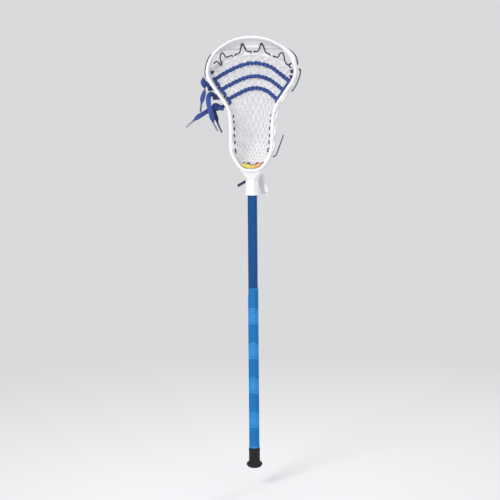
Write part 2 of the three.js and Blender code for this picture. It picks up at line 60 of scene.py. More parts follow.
def unit(vectors):
    return vectors / np.maximum(np.linalg.norm(vectors, axis=-1, keepdims=True), 1e-12)


def lerp(a, b, t):
    return a + (b - a) * t


def smoothstep(x, low, high):
    t = np.clip((x - low) / (high - low), 0, 1)
    return t * t * (3 - 2 * t)


class Curve:
    """Centripetal Catmull-Rom curve through its points."""

    def __init__(self, points):
        p = np.asarray(points, float)
        self.spans = len(p) - 1
        self.p = np.vstack([2 * p[0] - p[1], p, 2 * p[-1] - p[-2]])

    def at(self, t):
        place = np.clip(np.atleast_1d(t), 0, 1) * self.spans
        i = np.minimum(place.astype(int), self.spans - 1)
        x = (place - i)[:, None]
        a, b, c, d = (self.p[i + k] for k in range(4))
        ab, bc, cd = (np.sqrt(np.linalg.norm(q - p, axis=1))[:, None] for p, q in ((a, b), (b, c), (c, d)))
        start = ((b - a) / ab - (c - a) / (ab + bc) + (c - b) / bc) * bc
        end = ((c - b) / bc - (d - b) / (bc + cd) + (d - c) / cd) * bc
        return b + x * (start + x * (-3 * b + 3 * c - 2 * start - end + x * (2 * b - 2 * c + start + end)))

    def tangent(self, t):
        step = 1e-4
        return unit(self.at(np.clip(t + step, 0, 1)) - self.at(np.clip(t - step, 0, 1)))


def lengths(path):
    return np.concatenate([[0], np.cumsum(np.linalg.norm(np.diff(path, axis=0), axis=1))])


def even(path, step):
    """The same line with its points an even step apart."""
    along = lengths(path)
    count = max(3, int(round(along[-1] / step)) + 1)
    places = np.linspace(0, along[-1], count)
    return np.stack([np.interp(places, along, path[:, k]) for k in range(3)], axis=1)


def smooth_route(points, step=0.001):
    return even(Curve(points).at(np.linspace(0, 1, 60 * len(points))), step)


# ---------------------------------------------------------------- meshes
def placed(name, data):
    """A new object in the scene."""
    made = bpy.data.objects.new(name, data)
    SCENE.collection.objects.link(made)
    return made


def shade_smooth(mesh):
    mesh.polygons.foreach_set("use_smooth", [True] * len(mesh.polygons))
    return mesh


class Skin:
    """Points, faces and a UV for each face corner, gathered from several parts into one mesh."""

    def __init__(self):
        self.points = []
        self.faces = []
        self.uvs = []
        self.count = 0

    def add(self, points, faces, uvs=None):
        points = np.asarray(points, float).reshape(-1, 3)
        self.points.append(points)
        for face in faces:
            self.faces.append([int(i) + self.count for i in face])
        corners = sum(len(face) for face in faces)
        self.uvs.append(np.zeros((corners, 2)) if uvs is None else np.asarray(uvs, float).reshape(-1, 2))
        self.count += len(points)

    def build(self, name, weld=0.0):
        mesh = bpy.data.meshes.new(name)
        mesh.from_pydata(np.vstack(self.points).tolist(), [], self.faces)
        layer = mesh.uv_layers.new(name="strand")
        layer.data.foreach_set("uv", np.vstack(self.uvs).astype(np.float32).ravel())
        body = bmesh.new()
        body.from_mesh(mesh)
        if weld:
            bmesh.ops.remove_doubles(body, verts=body.verts, dist=weld)
        bmesh.ops.recalc_face_normals(body, faces=body.faces)
        body.to_mesh(mesh)
        body.free()
        return placed(name, shade_smooth(mesh))


def carried(tangent):
    """A normal carried along the line with the least turning."""
    first = np.array([0, 0, 1.0]) if abs(tangent[0][2]) < 0.8 else np.array([0, 1.0, 0])
    normals = [unit(first - tangent[0] * first.dot(tangent[0]))]
    for along in tangent[1:]:
        last = normals[-1]
        normals.append(unit(last - along * last.dot(along)))
    return np.array(normals)


def frames(path, facing=None, closed=False):
    if closed:
        tangent = unit(np.roll(path, -1, axis=0) - np.roll(path, 1, axis=0))
    else:
        tangent = unit(np.gradient(path, axis=0))
    if facing is None:
        normal = carried(tangent)
    else:
        facing = np.broadcast_to(facing, path.shape)
        normal = unit(facing - tangent * np.sum(facing * tangent, axis=1, keepdims=True))
    return tangent, normal, np.cross(tangent, normal)


END_OUT, END_WIDE = (0.85, 0.5), (0.5, 0.87)      # the two rings that round off a tube's end


def sweep(skin, path, section, facing=None, turn=0.0, wide=1.0, thick=1.0, closed=False):
    """A closed tube: section's points, x across and y along facing, carried along path.
    UV: x is the distance across from the middle line, y the distance along."""
    path = np.asarray(path, float)
    tangent, normal, side = frames(path, facing, closed)
    turn, wide, thick = (np.broadcast_to(value, len(path)).astype(float) for value in (turn, wide, thick))
    if not closed:
        cap = 0.5 * np.minimum(wide, thick)
        start = [path[0] - out * cap[0] * tangent[0] for out in END_OUT]
        end = [path[-1] + out * cap[-1] * tangent[-1] for out in END_OUT[::-1]]
        path = np.vstack([start, path, end])
        pad = lambda values: np.concatenate([[values[0]] * 2, values, [values[-1]] * 2])
        normal, side, turn = pad(normal), pad(side), pad(turn)
        shrink = np.concatenate([END_WIDE, np.ones(len(path) - 4), END_WIDE[::-1]])
        wide, thick = pad(wide) * shrink, pad(thick) * shrink
    section = np.asarray(section, float)
    x = section[None, :, 0] * wide[:, None]
    y = section[None, :, 1] * thick[:, None]
    c, s = np.cos(turn)[:, None], np.sin(turn)[:, None]
    points = (
        path[:, None]
        + side[:, None] * (x * c - y * s)[..., None]
        + normal[:, None] * (x * s + y * c)[..., None]
    )
    n, m = len(path), len(section)
    rows = n if closed else n - 1
    i, j = np.meshgrid(np.arange(rows), np.arange(m), indexing="ij")
    i, j = i.ravel(), j.ravel()
    ni, nj = (i + 1) % n, (j + 1) % m
    quads = np.stack([i * m + j, ni * m + j, ni * m + nj, i * m + nj], axis=1)
    along = lengths(np.vstack([path, path[:1]]) if closed else path)
    far = along[i + 1]
    uv = np.stack([x[i, j], along[i], x[ni, j], far, x[ni, nj], far, x[i, nj], along[i]], axis=1)
    faces = quads.tolist()
    uvs = uv.reshape(-1, 2)
    if not closed:
        faces += [list(range(m)), list(range((n - 1) * m, n * m))]
        uvs = np.vstack([uvs, np.zeros((2 * m, 2))])
    skin.add(points, faces, uvs)


def round_cord(skin, path, radius, closed=False):
    sweep(skin, path, ROUND, None, 0.0, radius, radius, closed)


def smoothed(values, reach):
    kernel = np.hanning(reach + 2)[1:-1]
    kernel /= kernel.sum()
    padded = np.pad(values, ((reach // 2, reach // 2), (0, 0)), mode="edge")
    return unit(np.stack([np.convolve(padded[:, k], kernel, mode="valid") for k in range(3)], axis=1))


def knotted(middle, axis, size):
    """A closed trefoil of lace about an axis."""
    a = np.linspace(0, 2 * math.pi, 121)[:-1]
    x, y = np.sin(a) + 1.6 * np.sin(2 * a), np.cos(a) - 1.6 * np.cos(2 * a)
    z = -1.1 * np.sin(3 * a)
    right = unit(np.cross(axis, [0, 0, 1.0]))
    up = np.cross(right, axis)
    return middle + size / 2.6 * (x[:, None] * right + y[:, None] * up + z[:, None] * axis)


def oval(count, power=2.0):
    """Outline of an ellipse or, with a higher power, of a strip with round edges, from -1 to 1."""
    a = np.arange(count) * 2 * math.pi / count
    c, s = np.cos(a), np.sin(a)
    return np.stack([np.sign(c) * np.abs(c) ** (2 / power), np.sign(s) * np.abs(s) ** (2 / power)], axis=1)


RIBBON = oval(18, 3.2)
ROUND = oval(12)


def loft(rings, closed=False):
    """A closed solid through rings of points: points, faces."""
    rings = np.asarray(rings, float)
    n, m = rings.shape[:2]
    rows = n if closed else n - 1
    faces = []
    for i in range(rows):
        k = (i + 1) % n
        faces += [[i * m + j, i * m + (j + 1) % m, k * m + (j + 1) % m, k * m + j] for j in range(m)]
    if not closed:
        faces += [list(range(m)), list(range((n - 1) * m, n * m))]
    return rings.reshape(-1, 3), faces


def solid(name, *parts):
    skin = Skin()
    for points, faces in parts:
        skin.add(points, faces)
    return skin.build(name)


def bake(piece):
    """Applies the piece's modifiers to its mesh."""
    bpy.context.view_layer.update()
    graph = bpy.context.evaluated_depsgraph_get()
    mesh = bpy.data.meshes.new_from_object(piece.evaluated_get(graph))
    old = piece.data
    piece.modifiers.clear()
    piece.data = shade_smooth(mesh)
    bpy.data.meshes.remove(old)
    return piece


def boolean(piece, operation, *others):
    for other in others:
        cut = piece.modifiers.new("cut", "BOOLEAN")
        cut.operation = operation
        cut.solver = "MANIFOLD"
        cut.object = other
    bake(piece)
    for other in others:
        bpy.data.objects.remove(other)
    return piece


def join(piece, other):
    """Adds the other piece's mesh to the piece's own."""
    body = bmesh.new()
    for source in (piece, other):
        body.from_mesh(source.data)
    body.to_mesh(piece.data)
    body.free()
    bpy.data.objects.remove(other)
    shade_smooth(piece.data)


def modifier(piece, kind, **settings):
    added = piece.modifiers.new(kind.lower(), kind)
    for name, value in settings.items():
        setattr(added, name, value)


def moulded(piece, voxel, rounds):
    """Turns sharp booleans into one moulded skin with rounded edges and fillets."""
    modifier(piece, "REMESH", mode="VOXEL", voxel_size=voxel)
    modifier(piece, "SMOOTH", factor=0.5, iterations=rounds)
    return bake(piece)


def rod(start, end, radius):
    path = np.array([start, end], float)
    _, normal, side = frames(path)
    outline = oval(24)
    return loft([path[i] + radius * (outline[:, :1] * side[i] + outline[:, 1:] * normal[i]) for i in (0, 1)])


def octagon(half, corner, steps=4, dish=0.0):
    """A regular octagon, half its width across flats, with corners rounded and flats dished."""
    tip = half / math.cos(math.pi / 8)
    points = []
    for k in range(8):
        a = math.pi / 8 + k * math.pi / 4
        middle = (tip - corner / math.cos(math.pi / 8)) * np.array([math.cos(a), math.sin(a)])
        for i in range(steps + 1):
            b = a - math.pi / 8 + i * math.pi / 4 / steps
            points.append(middle + corner * np.array([math.cos(b), math.sin(b)]))
        b = a + math.pi / 8
        points.append((half - dish) * np.array([math.cos(b), math.sin(b)]))
    return np.array(points)


def ring(outline, z):
    return np.column_stack([outline, np.full(len(outline), z)])


def prism(half, corner, low, high):
    """An octagonal bar from low to high."""
    return loft([ring(octagon(half, corner), z) for z in (low, high)])


def lathe(profile, sides=72):
    """A solid of revolution about z through rings of (radius, z)."""
    a = np.arange(sides) * 2 * math.pi / sides
    return loft([np.column_stack([r * np.cos(a), r * np.sin(a), np.full(sides, z)]) for r, z in profile])


# ---------------------------------------------------------------- materials
class Look:
    """A node material: fixed values go on its shader, and other nodes are added one by one."""

    def __init__(self, name, color, roughness, **fixed):
        self.material = bpy.data.materials.new(name)
        self.material.use_nodes = True
        self.tree = self.material.node_tree
        self.shader = self.tree.nodes["Principled BSDF"]
        self.fill(self.shader, dict(Base_Color=(*color, 1), Roughness=roughness, **fixed))
        self.place = self.node("TexCoord", output="Object")
        self.strand = self.node("UVMap", uv_map="strand")

    def fill(self, node, values):
        for name, value in values.items():
            socket = node.inputs[name.replace("_", " ") if isinstance(name, str) else name]
            if isinstance(value, bpy.types.NodeSocket):
                self.tree.links.new(value, socket)
            else:
                socket.default_value = value

    def node(self, kind, values=None, output=0, **settings):
        node = self.tree.nodes.new("ShaderNode" + kind)
        for name, value in settings.items():
            setattr(node, name, value)
        self.fill(node, values or {})
        return node.outputs[output]

    def math(self, operation, a, b=0.0, c=0.0):
        return self.node("Math", {0: a, 1: b, 2: c}, operation=operation)

    def parts(self, vector):
        """A vector's three outputs."""
        return self.node("SeparateXYZ", {0: vector}).node.outputs

    def stretched(self, *scale):
        return self.node("Mapping", dict(Vector=self.place, Scale=scale))

    def noise(self, scale, detail=3.0, vector=None, roughness=0.5):
        values = dict(Vector=vector or self.place, Scale=scale, Detail=detail, Roughness=roughness)
        return self.node("TexNoise", values)

    def cells(self, scale):
        return self.node("TexVoronoi", dict(Vector=self.place, Scale=scale), feature="F1")

    def ramp(self, value, low, high, start=0.0, end=1.0):
        values = dict(Value=value, From_Min=low, From_Max=high, To_Min=start, To_Max=end)
        return self.node("MapRange", values)

    def mix(self, factor, a, b):
        values = {0: factor, 6: a, 7: b}
        for key in (6, 7):
            if not isinstance(values[key], bpy.types.NodeSocket):
                values[key] = (*values[key], 1)
        return self.node("Mix", values, output=2, data_type="RGBA")

    def bump(self, *layers):
        """Layers are (height, depth in metres), stacked one on the other."""
        normal = None
        for height, depth in layers:
            under = dict(Normal=normal) if normal else {}
            normal = self.node("Bump", dict(Height=height, Distance=depth, Strength=1.0, **under))
        self.fill(self.shader, dict(Normal=normal))

    def paint(self, color, rough=None, low=0.0, high=1.0):
        """Its colour, and its roughness, which goes from low to high as rough goes from 0.3 to 0.7."""
        self.fill(self.shader, dict(Base_Color=color))
        if rough is not None:
            self.fill(self.shader, dict(Roughness=self.ramp(rough, 0.3, 0.7, low, high)))
        return self.material


def braid(look, pitch, width):
    """Height from 0 to 1 of crossing diagonal yarns, from the strand's own UV."""
    parts = look.parts(look.strand)
    x = look.math("MULTIPLY", parts["X"], 2 * math.pi / width)
    y = look.math("MULTIPLY", parts["Y"], 2 * math.pi / pitch)
    one = look.math("SINE", look.math("ADD", x, y))
    two = look.math("SINE", look.math("SUBTRACT", x, y))
    return look.ramp(look.math("MULTIPLY", one, two), -1.0, 1.0)


def knit(look, pitch, lean):
    """Height from 0 to 1 of a row of stitches shaped like a V, from the strand's own UV."""
    parts = look.parts(look.strand)
    x = look.math("MULTIPLY", look.math("ABSOLUTE", parts["X"]), lean)
    y = look.math("ADD", parts["Y"], x)
    wave = look.math("SINE", look.math("MULTIPLY", y, 2 * math.pi / pitch))
    return look.ramp(wave, -1.0, 1.0)


def plastic_look():
    look = Look("moulded_white", (0.87, 0.87, 0.9), 0.4, IOR=1.5, Coat_Weight=0.08, Coat_Roughness=0.25)
    cloud = look.noise(9.0, 3.0)
    grain = look.noise(1500.0, 3.0, roughness=0.7)
    scuff = look.noise(1.0, 6.0, look.stretched(40, 70, 260), 0.65)
    scratched = look.ramp(scuff, 0.62, 0.74)
    color = look.mix(cloud, (0.76, 0.762, 0.79), (0.8, 0.8, 0.815))
    color = look.mix(look.math("MULTIPLY", scratched, 0.25), color, (0.6, 0.6, 0.64))
    rough = look.math("ADD", look.ramp(cloud, 0.3, 0.7, 0.34, 0.46), look.math("MULTIPLY", scratched, 0.15))
    look.bump((grain, 0.00006), (scuff, 0.00005))
    look.fill(look.shader, dict(Roughness=rough))
    return look.paint(color)


def mesh_look():
    look = Look("knitted_white", (0.86, 0.86, 0.9), 0.85, Sheen_Weight=0.35, Sheen_Roughness=0.4)
    stitch = knit(look, 0.0016, 0.9)
    fuzz = look.noise(1800.0, 4.0, roughness=0.75)
    tone = look.noise(26.0, 2.0)
    color = look.mix(tone, (0.9, 0.9, 0.93), (0.96, 0.96, 0.97))
    # painted shade: the knit's low parts between stitches are darkened to lavender grey
    color = look.mix(look.ramp(stitch, 0.0, 0.5, 0.25, 0.0), color, (0.7, 0.7, 0.77))
    look.bump((stitch, 0.00028), (fuzz, 0.00012))
    return look.paint(color)


def cord_look(name, groove_shade_and_tone, light, pitch, width, depth):
    look = Look(name, light, 0.7, Sheen_Weight=0.25, Sheen_Roughness=0.35)
    weave = braid(look, pitch, width)
    fuzz = look.noise(2600.0, 4.0, roughness=0.7)
    tone = look.noise(60.0, 3.0)
    # painted shade: the braid's low grooves take the darker colour, as if shaded between the yarns
    color = look.mix(look.ramp(weave, 0.15, 0.7), groove_shade_and_tone, light)
    # random darker tone, mixed from the same darker colour
    color = look.mix(look.ramp(tone, 0.35, 0.75, 0.0, 0.35), color, tuple(0.6 * v for v in groove_shade_and_tone))
    look.bump((weave, depth), (fuzz, 0.00008))
    return look.paint(color, fuzz, 0.6, 0.85)


def anodised_look():
    look = Look("anodised_blue", (0.015, 0.095, 0.31), 0.3, Metallic=0.85)
    brushed = look.noise(1.0, 5.0, look.stretched(1400, 1400, 14), 0.6)
    cloud = look.noise(7.0, 3.0)
    nick = look.ramp(look.noise(1.0, 5.0, look.stretched(260, 260, 90), 0.7), 0.68, 0.74)
    color = look.mix(cloud, (0.013, 0.082, 0.28), (0.02, 0.12, 0.37))
    color = look.mix(look.math("MULTIPLY", nick, 0.35), color, (0.25, 0.36, 0.55))
    look.bump((brushed, 0.00002), (look.noise(900.0, 3.0), 0.00001))
    return look.paint(color, brushed, 0.24, 0.4)


GRIP_PERIOD = 0.077                 # one darker and one lighter band of the grip
GRIP_SHARE = 0.54                   # of each period that is in the darker tone
GRIP_BLUR = 0.035                   # of each period, the change from one tone to the other
GRIP_PHASE = 0.028
GRIP_ARC = 40.0                     # how much the bands bend, per metre
GRIP_LINES = 15                     # in each period
GRIP_SWELL, GRIP_RIDGE = 0.014, 0.0012      # share and half width of the ridge where the tone changes
GRIP_STEP = 0.0158                  # how much lower the sleeve's left side ends
GRIP_DARK, GRIP_LIGHT = (0.003, 0.14, 0.4), (0.028, 0.245, 0.58)


def grip_look():
    look = Look("two_tone_grip", (0.02, 0.2, 0.5), 0.62, Specular_IOR_Level=0.25)
    parts = look.parts(look.place)
    # the two tones change on a soft arc across each face
    arc = look.math("MULTIPLY", look.math("MULTIPLY", parts["X"], parts["X"]), GRIP_ARC)
    along = look.math("DIVIDE", look.math("ADD", look.math("ADD", parts["Z"], arc), GRIP_PHASE), GRIP_PERIOD)
    place = look.math("FRACT", along)
    rise = look.ramp(place, 0.0, GRIP_BLUR)
    fall = look.ramp(place, GRIP_SHARE, GRIP_SHARE + GRIP_BLUR)
    tone = look.math("SUBTRACT", rise, fall)
    cloud = look.noise(40.0, 4.0)
    color = look.mix(tone, GRIP_LIGHT, GRIP_DARK)
    # soft thin lines in the lighter part beside each change of tone
    beside = look.ramp(look.math("ABSOLUTE", look.math("SUBTRACT", place, (1 + GRIP_SHARE) / 2)), 0.06, 0.13)
    line = look.ramp(look.math("SINE", look.math("MULTIPLY", place, 2 * math.pi * GRIP_LINES)), 0.1, 0.9)
    lines = look.math("MULTIPLY", look.math("MULTIPLY", line, beside), look.math("SUBTRACT", 1.0, tone))
    color = look.mix(look.math("MULTIPLY", lines, 0.75), color, GRIP_DARK)
    color = look.mix(look.ramp(cloud, 0.35, 0.75, 0.0, 0.4), color, (0.01, 0.175, 0.46))
    dimple = look.cells(620.0)
    grain = look.noise(1300.0, 4.0, roughness=0.7)
    look.bump((look.ramp(dimple, 0.0, 0.45), 0.00018), (grain, 0.00005))
    return look.paint(color, grain, 0.55, 0.75)


def rubber_look():
    look = Look("black_rubber", (0.018, 0.017, 0.018), 0.72, Specular_IOR_Level=0.3)
    cloud = look.noise(30.0, 4.0)
    grain = look.noise(1600.0, 4.0, roughness=0.7)
    dust = look.ramp(look.noise(120.0, 6.0, roughness=0.7), 0.55, 0.8, 0.0, 0.2)
    color = look.mix(cloud, (0.006, 0.0055, 0.007), (0.014, 0.0135, 0.016))
    color = look.mix(dust, color, (0.04, 0.036, 0.038))
    look.bump((grain, 0.00008), (cloud, 0.0001))
    return look.paint(color, grain, 0.62, 0.86)


def foam_look():
    look = Look("yellow_foam", (0.85, 0.72, 0.14), 0.95)
    cells = look.cells(900.0)
    big = look.cells(420.0)
    parts = look.parts(look.place)
    warm = look.ramp(parts["X"], 0.001, 0.009)
    color = look.mix(warm, (0.82, 0.72, 0.12), (0.93, 0.42, 0.16))
    color = look.mix(look.ramp(cells, 0.1, 0.6, 0.0, 0.3), color, (0.45, 0.3, 0.05))
    look.bump((look.ramp(cells, 0.0, 0.6), 0.0003), (look.ramp(big, 0.0, 0.5), 0.0002))
    return look.paint(color)


def steel_look():
    look = Look("plated_steel", (0.55, 0.55, 0.57), 0.3, Metallic=1.0)
    grain = look.noise(1.0, 4.0, look.stretched(900, 900, 900))
    stain = look.noise(200.0, 4.0)
    color = look.mix(stain, (0.42, 0.42, 0.44), (0.66, 0.66, 0.68))
    look.bump((grain, 0.00002))
    return look.paint(color, stain, 0.24, 0.42)


def aglet_look(name, color, inner):
    look = Look(name, color, 0.25, Coat_Weight=0.5, Coat_Roughness=0.1)
    streak = look.noise(1.0, 4.0, look.stretched(700, 700, 120))
    shade = look.mix(look.ramp(streak, 0.35, 0.7), color, inner)
    look.bump((streak, 0.00006))
    return look.paint(shade, streak, 0.18, 0.34)


# ---------------------------------------------------------------- camera and studio
AZIMUTH, ELEVATION, ROLL = math.radians(8), math.radians(6), math.radians(-0.48)
DISTANCE, TARGET = 2.6, (-0.0063, 0, 0.47)
LENS, SENSOR, SHIFT = 86.08, 36, 0.01194
BACKDROP = (0.7, 0.7, 0.712)
LIGHTS = [("key", (-1.3, -2.7, 2.2), 0.6, 1.4, 66), ("fill", (2.2, -2.2, 1.2), 0.5, 1.8, 16),
          ("rim", (1.4, 2.2, 2.0), 0.6, 1.2, 18)]       # name, place, height aimed at, size, power
FLOOR_LEVEL = -0.047                # below the end cap when it is pulled right off the butt
FLOOR_RADII = (0.01, 0.6, 2.0, 30.0)


def place_camera():
    data = bpy.data.cameras.new("camera")
    camera = placed("camera", data)
    SCENE.camera = camera
    level = math.cos(ELEVATION)
    back = Vector((math.sin(AZIMUTH) * level, -math.cos(AZIMUTH) * level, math.sin(ELEVATION)))
    turn = back.to_track_quat("Z", "Y").to_matrix() @ Matrix.Rotation(ROLL, 3, "Z")
    camera.matrix_world = Matrix.Translation(Vector(TARGET) + back * DISTANCE) @ turn.to_4x4()
    data.lens, data.sensor_width, data.shift_y = LENS, SENSOR, SHIFT


def area_light(name, at, height, size, power):
    data = bpy.data.lights.new(name, "AREA")
    data.shape, data.size, data.energy = "DISK", size, power
    light = placed(name, data)
    light.location = at
    light.rotation_euler = (Vector((0, 0, height)) - Vector(at)).to_track_quat("-Z", "Y").to_euler()


def build_floor():
    """A wide floor that fades into the backdrop's own brightness."""
    angles = np.linspace(0, 2 * math.pi, 97)[:-1]
    rings = [[(r * math.cos(a), r * math.sin(a), FLOOR_LEVEL) for a in angles] for r in FLOOR_RADII]
    points, faces = loft(rings)
    floor = solid("floor", (points, faces[:-1]))
    look = Look("pale_floor", (0.82, 0.82, 0.83), 0.9)
    distance = look.node("VectorMath", {0: look.place}, output="Value", operation="LENGTH")
    glow = look.node("Emission", dict(Color=(*BACKDROP, 1)))
    blend = look.node("MixShader", {0: look.ramp(distance, 0.25, 1.6), 1: look.shader.outputs[0], 2: glow})
    look.fill(look.tree.nodes["Material Output"], dict(Surface=blend))
    floor.data.materials.append(look.material)


def build_studio():
    SCENE.view_settings.view_transform = "Standard"
    SCENE.world = bpy.data.worlds.new("studio")
    SCENE.world.use_nodes = True
    sky = SCENE.world.node_tree.nodes["Background"].inputs
    sky["Color"].default_value = (*BACKDROP, 1)
    sky["Strength"].default_value = 1.0
    for light in LIGHTS:
        area_light(*light)
    build_floor()


place_camera()
build_studio()

PLASTIC = plastic_look()
MESH = mesh_look()
NAVY = cord_look("navy_string", (0.012, 0.016, 0.05), (0.034, 0.05, 0.15), 0.0022, 0.0022, 0.00018)
LACE = cord_look("royal_lace", (0.012, 0.03, 0.15), (0.032, 0.085, 0.36), 0.0021, 0.0021, 0.00022)
# a darker copy of the royal lace: painted shade for lace parts that lie in shadow
SHADE_PAINTED_LACE = cord_look("royal_lace_painted_shade", (0.008, 0.012, 0.06), (0.022, 0.04, 0.19), 0.0021, 0.0021, 0.00022)
MESH_END = cord_look("cut_mesh", (0.74, 0.74, 0.8), (0.94, 0.94, 0.96), 0.006, 0.0016, 0.00012)
ANODISED = anodised_look()
GRIP = grip_look()
RUBBER = rubber_look()
FOAM = foam_look()
STEEL = steel_look()
CLEAR = aglet_look("clear_aglet", (0.25, 0.25, 0.31), (0.13, 0.14, 0.22))
DARK_AGLET = aglet_look("navy_aglet", (0.04, 0.045, 0.1), (0.1, 0.1, 0.16))


def settle(piece, look, slot, *nodes, body="stick"):
    """The piece is dressed, rides on a body and stands for CAD nodes. The slot argument is not used."""
    piece.data.materials.clear()
    piece.data.materials.append(look)
    piece.data.polygons.foreach_set("material_index", [0] * len(piece.data.polygons))
    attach(piece, body)
    if nodes:
        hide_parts(*nodes)
    return piece


# ---------------------------------------------------------------- the rim of the head
# Outer edges of the rim from the middle of the throat round the right side to the middle of the
# scoop, as the CAD head has them: [front edge x, y, z, rear edge x, y, z] in millimetres.
RIM = [
    [0, -22, 652, 0, 22, 651], [14, -22, 654, 14, 22, 653], [27, -22, 662, 27, 23, 661],
    [38, -21, 677, 37.5, 26, 676], [46, -19, 696, 46, 30, 694], [48, -16, 722, 49.5, 35, 722],
    [48.5, -12, 753, 51, 39, 753], [51, -9, 778, 54.5, 41, 778], [57, -8, 793, 60, 42, 793],
    [67, -7, 808, 69, 42, 808], [82.5, -7, 830, 84, 41, 830], [92.5, -8, 845, 92.5, 39, 845],
    [98.5, -9, 862, 97, 36, 861.5], [96.5, -10, 880, 96.5, 32, 879.5], [90.5, -11, 894.5, 93.5, 29, 897],
    [81.5, -12, 907, 84.5, 26, 908], [65, -13, 921.5, 65, 22, 916], [43, -14, 934, 41, 18, 916.5],
    [22, -15, 940.3, 18, 14, 916.5], [0, -15, 942, 0, 13, 917.5],
]
FRONT_RAIL, REAR_RAIL = 0.007, 0.0064
WEB, WEB_RECESS = 0.0032, 0.0014
RAIL_DEPTH, RAIL_BLEND = 0.0075, 0.002
SCOOP_THICK, SCOOP_LIP, SCOOP_CROWN = 0.004, 0.005, 0.0025
WINDOWS = [[699, 722], [731, 755], [765, 787], [800, 822], [834, 853]]
WINDOW_INSET = 0.0125
HEAD_VOXEL = 0.0009
STRING_STATIONS = [0.213, 0.251, 0.277, 0.302, 0.33, 0.353, 0.55, 0.6, 0.65]
LACE_STATIONS = [0.43, 0.48, 0.525]
LACE_HOLE_BACK = 0.0045             # from the rear edge
# x, distance from the rear edge, radius
SCOOP_HOLES = [(0.02, 0.016, 0.002), (0.046, 0.0135, 0.0027), (0.065, 0.016, 0.002)]
SCREW_Z, SCREW_HOLE = 0.62, 0.0022
SHAFT_HALF, SHAFT_GAP = 0.01, 0.0003
SOCKET = (0.0138, 0.002)            # half its width, its corners' radius; the lip's rings also have a level
SOCKET_LIP = [(0.0142, 0.0024, 0.602), (0.0148, 0.0024, 0.6028), (0.0148, 0.0024, 0.607), (*SOCKET, 0.6084)]

front_curve = Curve(mm([row[:3] for row in RIM]))
rear_curve = Curve(mm([row[3:] for row in RIM]))


class Station:
    """Places on the rim at t from 0, the throat, to 1, the scoop, on the right side."""

    def __init__(self, t):
        t = np.atleast_1d(np.asarray(t, float))
        self.front = front_curve.at(t)
        self.across = rear_curve.at(t) - self.front
        self.depth = np.linalg.norm(self.across, axis=1)
        self.across = unit(self.across)
        along = unit(front_curve.tangent(t) + rear_curve.tangent(t))
        self.out = unit(np.cross(self.across, along))
        self.scoop = smoothstep(t, 0.66, 0.86)

    def point(self, distance, inset):
        """distance from the front edge towards the rear edge, and inset into the head."""
        distance, inset = (np.broadcast_to(v, self.depth.shape)[:, None] for v in (distance, inset))
        return self.front + self.across * distance - self.out * inset

    def rear(self, distance, inset=0.0, beyond=REAR_RAIL):
        """The one place a distance in front of the rear edge, and inset beyond the rail."""
        return self.point(self.depth - distance, beyond + inset)[0]


def chaikin(points, rounds=2, share=0.22):
    """A closed outline with its corners cut off again and again."""
    for _ in range(rounds):
        after = np.roll(points, -1, axis=0)
        points = np.stack([lerp(points, after, share), lerp(points, after, 1 - share)], axis=1)
        points = points.reshape(-1, points.shape[-1])
    return points


def rim_rings(steps):
    t = np.linspace(0, 1, steps + 1)
    s = Station(t)
    front = lerp(FRONT_RAIL, SCOOP_LIP, s.scoop)
    rear = lerp(REAR_RAIL, SCOOP_THICK, s.scoop)
    recess = lerp(WEB_RECESS, -SCOOP_CROWN, s.scoop)
    web = lerp(WEB + WEB_RECESS, SCOOP_THICK - SCOOP_CROWN, s.scoop)
    inner = s.depth - RAIL_DEPTH
    zero = np.zeros_like(inner)
    outline = [
        (zero, zero), (zero + RAIL_DEPTH, zero), (zero + RAIL_DEPTH + RAIL_BLEND, recess),
        (inner - RAIL_BLEND, recess), (inner, zero), (s.depth, zero), (s.depth, rear), (inner, rear),
        (inner - RAIL_BLEND, web), (zero + RAIL_DEPTH + RAIL_BLEND, web), (zero + RAIL_DEPTH, front),
        (zero, front),
    ]
    rings = np.stack([s.point(d, i) for d, i in outline], axis=1)
    return np.array([chaikin(r) for r in rings])


def whole_rim(steps=150):
    rings = rim_rings(steps)
    return loft(np.concatenate([rings, sided(rings[1:-1][::-1])]), closed=True)


def hull(name, points):
    body = bmesh.new()
    for p in points:
        body.verts.new(p)
    made = bmesh.ops.convex_hull(body, input=body.verts)
    loose = [v for v in made["geom_interior"] if isinstance(v, bmesh.types.BMVert)]
    bmesh.ops.delete(body, geom=loose, context="VERTS")
    bmesh.ops.recalc_face_normals(body, faces=body.faces)
    mesh = bpy.data.meshes.new(name)
    body.to_mesh(mesh)
    body.free()
    return placed(name, mesh)


def station_where(curve, axis, value, low, high):
    """The t between low and high where the curve's coordinate is value."""
    t = np.linspace(low, high, 600)
    coordinate = curve.at(t)[:, axis]
    order = np.argsort(coordinate)
    return float(np.interp(value, coordinate[order], t[order]))


def window_cutter(low, high):
    edges = []
    for z in (low, high):
        t = station_where(front_curve, 2, z, 0.1, 0.75)
        edges.append((front_curve.at(t)[0][1] + WINDOW_INSET, rear_curve.at(t)[0][1] - WINDOW_INSET))
    (front_low, rear_low), (front_high, rear_high) = edges
    corners = np.array([[front_low, low], [rear_low, low], [rear_high, high], [front_high, high]])
    outline = chaikin(corners, 4, 0.24)
    return loft([np.column_stack([np.full(len(outline), x), outline]) for x in (-0.12, 0.12)])


def rail_hole(t, from_rear, radius, side):
    ends = [Station(t).rear(from_rear, inset, 0.0) for inset in (-0.006, 0.014)]
    return rod(*sided(ends, side), radius)


def scoop_station(x):
    return station_where(rear_curve, 0, x, 0.75, 1.0)


def throat_corners():
    corners = [(x, y, 0.6545) for x in (-0.02, 0.02) for y in (-0.019, 0.019)]
    corners += [(x, y, 0.6595) for x in (-0.0255, 0.0255) for y in (-0.017, 0.017)]
    return corners + [tuple(p) for p in ring(octagon(*SOCKET), 0.636)]


def ball_well():
    outline = mm([[-40, 690], [-30, 673], [-21, 662], [-12, 658], [12, 658], [21, 662], [30, 673], [40, 690]])
    return loft([np.column_stack([outline[:, 0], np.full(8, y), outline[:, 1]]) for y in (-0.04, 0.04)])


